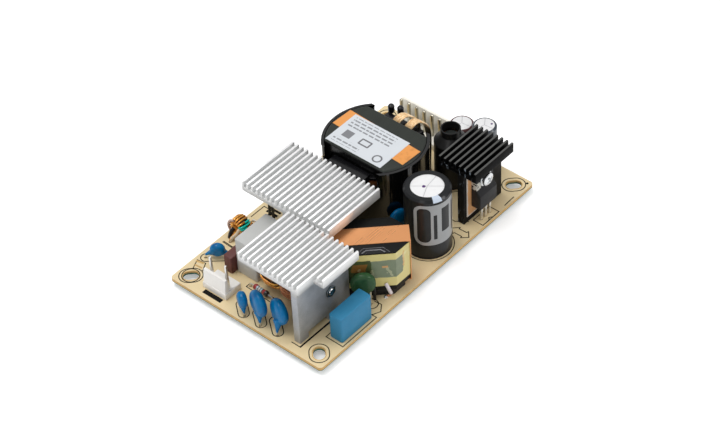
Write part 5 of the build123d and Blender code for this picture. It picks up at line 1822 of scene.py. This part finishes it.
@dataclass
class Screws:
    """Pan head screws with a cross recess, the washer and the press nut."""

    head_radius: float = 2.8
    head_height: float = 2.0
    head_lip: float = 0.5
    recess_depth: float = 1.2
    recess_reach: float = 1.75
    arm_half: float = 0.34
    arm_slope: float = 0.12
    root: float = 1.22
    crest: float = 1.44
    pitch: float = 0.5
    device_height: float = BOARD_TOP + 17.0
    transistor_height: float = BOARD_TOP + 19.9
    teeth: int = 28
    washer_hole: float = 1.65
    washer_rim: float = 3.4
    tooth: float = 0.45
    washer_depth: float = 0.5

    def crown(self, x: float, y: float) -> float:
        """Works out the domed head's height, with the cross recess cut in.

        Args:
            x: The place across the head, from its middle.
            y: The place up the head, from its middle.

        Returns:
            The height there.
        """
        share = math.hypot(x, y) / self.head_radius
        dome = self.head_height * math.sqrt(max(0.0, 1 - 0.62 * share ** 2.6))
        arm, reach = min(abs(x), abs(y)), max(abs(x), abs(y))
        wall = 1.0 if arm < self.arm_half else max(0.0, 1 - (arm - self.arm_half) / self.arm_slope)
        deep = max(0.0, 1 - reach / self.recess_reach) * wall
        return dome - self.recess_depth * min(1.0, deep * 1.9)

    def head(self, rings: int = 22, spokes: int = 64) -> Shape:
        """Makes a pan head whose own Z axis points out.

        Args:
            rings: Steps from its middle to its rim.
            spokes: Steps round it.

        Returns:
            The head.
        """
        built = bmesh.new()
        rows = []
        for i in range(rings + 1):
            radius = self.head_radius * i / rings
            lip = self.head_lip if i == rings else 0.0
            row = []
            for k in range(spokes):
                turn = 2 * math.pi * k / spokes
                x, y = radius * math.cos(turn), radius * math.sin(turn)
                row.append(built.verts.new((x, y, self.crown(x, y) - lip)))
            rows.append(row)
        rows.append([built.verts.new((v.co.x, v.co.y, 0.0)) for v in rows[-1]])
        for low, high in zip(rows, rows[1:]):
            for k in range(spokes):
                nxt = (k + 1) % spokes
                built.faces.new((low[k], low[nxt], high[nxt], high[k]))
        built.faces.new(list(reversed(rows[-1])))
        bmesh.ops.remove_doubles(built, verts=built.verts, dist=1e-5)
        return built

    def shank(self, built: Shape, length: float) -> None:
        """Adds a threaded shank behind the head.

        Args:
            built: The head that it is added to.
            length: The shank's length.
        """
        core, top, z = self.root - 0.02, 0.02, 0.0
        profile = [(0.0, top), (core, top)]
        while z > -length:
            profile += [(self.root, z), (self.crest, z - self.pitch / 2)]
            z -= self.pitch
        profile += [(core, -length), (0.0, -length)]
        Kit.spun(built, profile, Matrix.Identity(4), 24)

    def place(self, name: str, spots: list[tuple[Place, Place, float]], node: str, turn: float) -> None:
        """Sets screws into their places as one piece.

        Args:
            name: The piece's name.
            spots: Where each head's back lies, which way it faces and how long its shank is.
            node: The CAD node that they stand for.
            turn: How far their recesses are turned, in degrees.
        """
        whole = bmesh.new()
        for at, facing, length in spots:
            built = self.head()
            self.shank(built, length)
            mesh = Kit.mesh("screw", built, 32)
            place = turned(at, facing) @ Matrix.Rotation(math.radians(turn), 4, "Z")
            place.translation *= MM
            mesh.transform(place)
            whole.from_mesh(mesh)
        data = bpy.data.meshes.new(name)
        whole.to_mesh(data)
        whole.free()
        Kit.piece(name, data, Look.screw, "screw", node)

    def build(self) -> None:
        """Sets every screw, the washer and the nut."""
        spots = [((-41.2, -17.6, BOARD_TOP + 14.05), (0, 1, 0), 7.5)]
        for x, back, side in ((-22.2, 1.85, -1), (-8.2, 1.85, -1), (-15.0, 13.65, 1)):
            spots.append(((x, back, self.device_height), (0, side, 0), 7.1))
        self.place("pan_head_screws", spots, "device_screws", 20.0)
        head = ((TRANSISTOR_X, -35.0, self.transistor_height), (0, -1, 0), 6.0)
        self.place("transistor_pan_screw", [head], "transistor_screw", 28.0)
        self.washer()
        Kit.soften("bridge_nut", Look.nut, "screw", 0.12)

    def washer(self) -> None:
        """Cuts a toothed lock washer for the transistor's screw."""
        built = bmesh.new()
        rows = []
        for k in range(self.teeth * 2):
            turn = math.pi * k / self.teeth
            reach = self.washer_rim - (self.tooth if k % 2 else 0.0)
            row = []
            for radius, z in (
                (self.washer_hole, 0.0), (reach, 0.0), (reach, self.washer_depth),
                (self.washer_hole, self.washer_depth),
            ):
                row.append(built.verts.new((radius * math.cos(turn), radius * math.sin(turn), z)))
            rows.append(row)
        for first, second in zip(rows, rows[1:] + rows[:1]):
            for j in range(4):
                nxt = (j + 1) % 4
                built.faces.new((first[j], first[nxt], second[nxt], second[j]))
        mesh = Kit.mesh("lock_washer", built, 30.0)
        place = turned((TRANSISTOR_X, -34.5, self.transistor_height), (0, -1, 0))
        place.translation *= MM
        mesh.transform(place)
        Kit.piece("lock_washer", mesh, Look.screw, "screw", "transistor_washer")


@dataclass
class Heatsinks:
    """The three heatsinks and what is bolted to them."""

    leg_pitch: float = 2.54
    leg_half: float = 0.52
    leg_span: Point = (-35.05, -34.4)
    leg_height: float = 7.3

    def build(self) -> None:
        """Rounds the fins and dresses the devices."""
        Kit.soften("front_heatsink", Look.silver, "silver", 0.2, 3)
        Kit.soften("rear_heatsink", Look.silver, "silver", 0.2, 3)
        Kit.soften("black_heatsink", Look.black_metal, "black_metal", 0.16)
        Kit.wear(Look.black_case, "bridge_rectifier", "rear_devices")
        Kit.wear(Look.pad, "insulating_pad")
        Kit.wear(Look.tin, "device_leads")
        Kit.soften("power_transistor", Look.power_case, "black_plastic", 0.15)
        built = bmesh.new()
        front, back = self.leg_span
        for side in (-1, 0, 1):
            x = TRANSISTOR_X + side * self.leg_pitch
            low, high = x - self.leg_half, x + self.leg_half
            Kit.slab(built, [(low, front), (high, front), (high, back), (low, back)], self.leg_height)
        Kit.form("transistor_legs", built, Look.tin, "tin", smooth=None)


@dataclass
class BoostInductor:
    """The boost inductor with its copper band and tape."""

    front: float = 9.45
    window: Point = (6.6, 3.2)
    window_shift: float = 0.8
    taper: float = 0.62
    solder_spot: Point = (3.8, -0.6)

    def build(self) -> None:
        """Rounds the core and its foot and dresses the band, the tape and the coil."""
        Kit.soften("boost_core", Look.grey_ferrite, "ferrite", 0.25)
        Kit.soften("boost_foot", Look.black_case, "black_plastic", 0.25)
        Kit.wear(Look.copper, "boost_band")
        Kit.wear(Look.yellow_tape, "boost_tape")
        Kit.wear(Look.copper_wire, "boost_winding")
        Kit.wear(Look.black_gloss, "boost_bobbin")
        Kit.wear(Look.tin, "bobbin_pins")
        self.flange()
        self.leads()

    def spot(self, u: float, v: float) -> Point:
        """Finds a place on the turned inductor.

        Args:
            u: How far along its front face.
            v: How far back from that face.

        Returns:
            The place in the object's own frame.
        """
        turn = math.radians(BOOST_TURN)
        along, back = Vector((math.cos(turn), math.sin(turn))), Vector((-math.sin(turn), math.cos(turn)))
        return tuple(Vector(BOOST_CENTRE) + along * (u + self.window_shift) + back * (v - self.front))

    def flange(self) -> None:
        """Shows the bobbin's glossy flange and its stepped rim in the core's front edge, the rim in a lighter
        grey that paints its highlight.
        """
        built = bmesh.new()
        half, deep = self.window
        shape = ((-half, 0.0), (half, 0.0), (half * self.taper, deep), (-half * self.taper, deep))
        Kit.slab(built, [self.spot(*at) for at in shape], 0.08, BOOST_TOP)
        Kit.form("boost_flange", built, Look.black_gloss, "black_plastic", smooth=None)
        # The rim's tubes are lighter grey: a painted highlight.
        built = bmesh.new()
        for inset, thick in ((0.35, 0.07), (1.5, 0.22)):
            reach, back = half - inset * 1.5, deep - inset
            bend = ((-reach, 0.3), (-reach * self.taper, back), (reach * self.taper, back), (reach, 0.3))
            Kit.tube(built, [Vector((*self.spot(*at), BOOST_TOP + 0.1)) for at in bend], thick, 8)
        Kit.form("boost_flange_rim", built, Look.worn_edge, "black_plastic")

    def leads(self) -> None:
        """Brings the coil's two sleeved leads down to the board, one with a bare end in solder."""
        striped = ((4.1, -0.35, 8.4), (4.5, -1.05, 7.8), (5.1, -1.15, 6.0), (5.8, -0.95, 3.9))
        black = ((-0.4, -0.5, 7.4), (-0.4, -1.3, 6.6), (-0.4, -1.45, 4.0), (-0.4, -1.45, 1.62))
        bare = ((5.8, -0.9, 4.1), (5.5, -0.8, 2.6), (4.6, -0.7, 2.5), (*self.solder_spot, 1.62))
        for name, run, radius, finish, slot in (
            ("boost_striped_sleeve", striped, 0.75, Look.striped_sleeve, "black_sleeve"),
            ("boost_black_sleeve", black, 0.65, Look.black_sleeve, "black_sleeve"),
            ("boost_bare_end", bare, 0.32, Look.copper_wire, "copper"),
        ):
            built = bmesh.new()
            Kit.tube(built, Kit.smooth_path([(*self.spot(u, v), z) for u, v, z in run]), radius, 12)
            Kit.form(name, built, finish, slot)
        built = bmesh.new()
        tip = Matrix.Translation((*self.spot(*self.solder_spot), BOARD_TOP))
        Kit.spun(built, [(0.0, 0.0), (0.85, 0.0), (0.62, 0.35), (0.4, 0.75), (0.0, 0.9)], tip, 14)
        Kit.form("boost_solder_tip", built, Look.solder, "solder")


@dataclass
class Transformer:
    """The main transformer: round core, glossy wrap, tape, label and flat litz leads."""

    strands: int = 5
    strand_radius: float = 0.36
    strand_pitch: float = 0.68
    ends: tuple[Point, ...] = ((41.0, 15.2), (42.4, 11.6))

    def litz(self) -> None:
        """Lays flat bundles of strands over the core's output side."""
        built = bmesh.new()
        for y, far_y in ((8.4, 4.6), (2.4, -0.6)):
            for k in range(self.strands):
                off = (k - (self.strands - 1) / 2) * self.strand_pitch
                lift = 0.12 * math.sin(k * 2.1)
                path = Kit.smooth_path([
                    (34.5, y + off, 26.8 + lift),
                    (36.4, y + off - 0.8, 29.0 + lift),
                    (39.2, (y + far_y) / 2 + off, 29.7 + lift),
                    (42.0, far_y + off * 0.9, 27.4),
                    (43.9, far_y - 0.4 + off * 0.8, 22.0),
                    (44.3, far_y - 0.4 + off * 0.5, 12.0),
                    (44.3, far_y - 0.4 + off * 0.25, 3.0),
                    (44.3, far_y - 0.4 + off * 0.1, 0.0),
                ], 9)
                Kit.tube(built, path, self.strand_radius, 9)
        for at in self.ends:
            Kit.tube(built, [Vector((*at, z)) for z in (0.0, 12.0, 25.2)], 0.45, 10)
        Kit.form("litz_strands", built, Look.litz, "copper", "transformer_litz")

    def sleeves(self) -> None:
        """Models the shrunk black lumps on the ends beside the core."""
        built = bmesh.new()
        profile = [
            (0.0, 25.05), (0.8, 25.05), (1.25, 25.6), (1.38, 26.6), (1.3, 27.6), (1.36, 28.4), (1.0, 29.05),
            (0.0, 29.15),
        ]
        for at in self.ends:
            Kit.spun(built, profile, Matrix.Translation((*at, 0.0)), 20)
        Kit.form("lead_sleeves", built, Look.black_gloss, "black_sleeve", "transformer_sleeves", smooth=60.0)

    def build(self) -> None:
        """Dresses the core and lays what is on it."""
        Kit.soften("transformer_core", Look.core_top, "ferrite", 0.3)
        Kit.soften("transformer_bobbin", Look.black_gloss, "black_plastic", 0.2)
        Kit.wear(Look.wrap, "transformer_wrap")
        Kit.wear(Look.orange_tape, "transformer_tape")
        Kit.wear(Look.label, "transformer_label")
        Kit.wear(Look.copper_wire, "transformer_winding")
        self.litz()
        self.sleeves()


@dataclass
class Cans:
    """The electrolytic capacitors, the output choke and the temperature sensor."""

    def build(self) -> None:
        """Dresses the cans and their tops."""
        Kit.wear(Look.bulk_top, "bulk_capacitor_can")
        Kit.wear(Look.bulk_sleeve, "bulk_capacitor_sleeve")
        Kit.wear(Look.brown_sleeve, "brown_capacitor")
        Kit.wear(Look.dark_sleeve, "dark_capacitor")
        profile = [(0.0, -0.2), (3.95, -0.2), (3.95, 0.02), (3.8, 0.05), (0.0, 0.05)]
        for name, centre, height, dot in (
            ("brown_can_top", (56.7, -7.5), 19.5, (0.0, 0.0, -1.0)),
            ("dark_can_top", (58.3, -17.6), 22.8, (2.2, -1.8, 0.45)),
        ):
            built = bmesh.new()
            Kit.spun(built, profile, Matrix.Translation((*centre, BOARD_TOP + height)), 48)
            finish = Vented(
                name, (0.84, 0.84, 0.84), 0.38, centre=centre, grooves=(35.0, 155.0, 275.0), dot=dot
            )
            Kit.form(name, built, finish, "can")
        Kit.wear(Look.copper_wire, "output_choke_winding")
        Kit.wear(Look.ferrite, "output_choke_rod")
        Kit.wear(Look.black_sleeve, "output_choke_sleeve", "temperature_sensor")


@dataclass
class OutputEnd:
    """The output header, whose wall stands taller in the photograph than in the solids."""

    knee: float = 9.4
    rise: float = 2.8
    lean: float = 0.2

    def build(self) -> None:
        """Rounds the housing and the pins and raises the wall's upper part."""
        Kit.soften("output_housing", Look.cream_nylon, "cream_nylon", 0.2)
        wall = bpy.data.objects["output_housing_rounded"].data
        for vertex in wall.vertices:
            if vertex.co.z > self.knee * MM:
                vertex.co += Vector((self.lean, 0.0, self.rise)) * MM
        wall.update()
        Kit.soften("output_pins", Look.pin, "tin", 0.1)


@dataclass
class Studio:
    """The floor, the light and the camera, none of which is part of the object."""

    lens: float = 116.835
    position: Place = (-0.47743, -0.44350, 0.62554)
    tilt: Place = (46.3755, 2.2141, -49.4014)
    floor_half: float = 3.0
    floor_level: float = -2.4
    floor_glow: float = 0.3
    horizon: float = 0.12

    def floor(self) -> None:
        """Lays a pale floor that keeps the shadow and shows white to the camera."""
        mesh = bpy.data.meshes.new("floor")
        half, low = self.floor_half, self.floor_level * MM
        corners = [(-half, -half, low), (half, -half, low), (half, half, low), (-half, half, low)]
        mesh.from_pydata(corners, [], [(0, 1, 2, 3)])
        surface = Surface("studio_floor")
        seen = Socket(surface, surface.node("ShaderNodeLightPath").outputs["Is Camera Ray"])
        surface.set(
            Base_Color=surface.tone((0.93, 0.93, 0.93), surface.noise(60.0), 0.004),
            Roughness=0.9,
            Specular_IOR_Level=0.0,
            Emission_Color=surface.mix(seen, (0.0, 0.0, 0.0), (1.0, 1.0, 1.0)),
            Emission_Strength=self.floor_glow,
        )
        mesh.materials.append(surface.material)
        made = placed("floor", mesh)

    def world(self) -> None:
        """Lights the room softly, brighter above than at its sides, and white to the camera."""
        world = bpy.data.worlds.new("studio")
        bpy.context.scene.world = world
        world.use_nodes = True
        graph = Graph(world.node_tree)
        world.node_tree.nodes.clear()
        way = graph.node("ShaderNodeTexCoord").outputs["Generated"]
        height = Socket(graph, graph.node("ShaderNodeSeparateXYZ", inputs={0: way}).outputs[2])
        stops = [
            (0.0, (0.42, 0.42, 0.42)), (0.15, (0.34, 0.34, 0.35)), (0.5, (0.50, 0.50, 0.51)),
            (1.0, (0.78, 0.78, 0.78)),
        ]
        ramp = graph.node("ShaderNodeValToRGB", {"stops": stops}, {0: height})
        path = graph.node("ShaderNodeLightPath").outputs
        camera, glossy, clear = (
            Socket(graph, path[title]) for title in ("Is Camera Ray", "Is Glossy Ray", "Is Transmission Ray")
        )
        seen = (glossy.apply("MAXIMUM", clear) * (height < self.horizon)).apply("MAXIMUM", camera)
        values = {0: seen, 6: ramp.outputs[0], 7: (1.0, 1.0, 1.0)}
        colour = graph.node("ShaderNodeMix", {"data_type": "RGBA"}, values)
        back = graph.node("ShaderNodeBackground", inputs={"Color": colour.outputs[2]})
        graph.node("ShaderNodeOutputWorld", inputs={"Surface": back.outputs[0]})

    def lamp(self, name: str, at: Place, size: Point, power: float) -> None:
        """Hangs one soft box that faces the object.

        Args:
            name: The lamp's name.
            at: Where it hangs, in metres.
            size: Its width and height, in metres.
            power: Its power, in watts.
        """
        light = bpy.data.lights.new(name, "AREA")
        light.shape = "RECTANGLE"
        light.size, light.size_y = size
        light.energy = power
        made = placed(name, light)
        made.location = at
        made.rotation_euler = (-Vector(at)).to_track_quat("-Z", "Y").to_euler()

    def camera(self) -> None:
        """Sets the camera where the photograph was taken from."""
        data = bpy.data.cameras.new("camera")
        data.lens = self.lens
        data.sensor_width = 36.0
        data.clip_start, data.clip_end = 0.01, 20.0
        data.dof.use_dof = False
        made = placed("camera", data)
        made.location = self.position
        made.rotation_euler = [math.radians(angle) for angle in self.tilt]
        bpy.context.scene.camera = made

    def build(self) -> None:
        """Sets the stage."""
        self.floor()
        self.world()
        self.lamp("key", (-0.15, 0.35, 1.3), (0.8, 0.65), 8.5)
        self.lamp("side", (-1.1, -0.3, 0.75), (0.4, 0.7), 1.4)
        self.lamp("front", (0.7, -1.0, 0.9), (0.6, 0.35), 4.5)
        self.camera()
        bpy.context.scene.view_settings.view_transform = "Standard"


def main() -> None:
    """Builds every sub-assembly in order."""
    logging.basicConfig(level=logging.INFO, format="%(name)s %(message)s")
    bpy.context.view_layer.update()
    parts = (
        Board(), InletEnd(), Discs(), Resistor(), Chokes(), Heatsinks(), Screws(), BoostInductor(),
        Transformer(), Cans(), OutputEnd(), Studio(),
    )
    for part in parts:
        part.build()
        log.info("%s done", type(part).__name__)


if __name__ == "__main__":
    main()
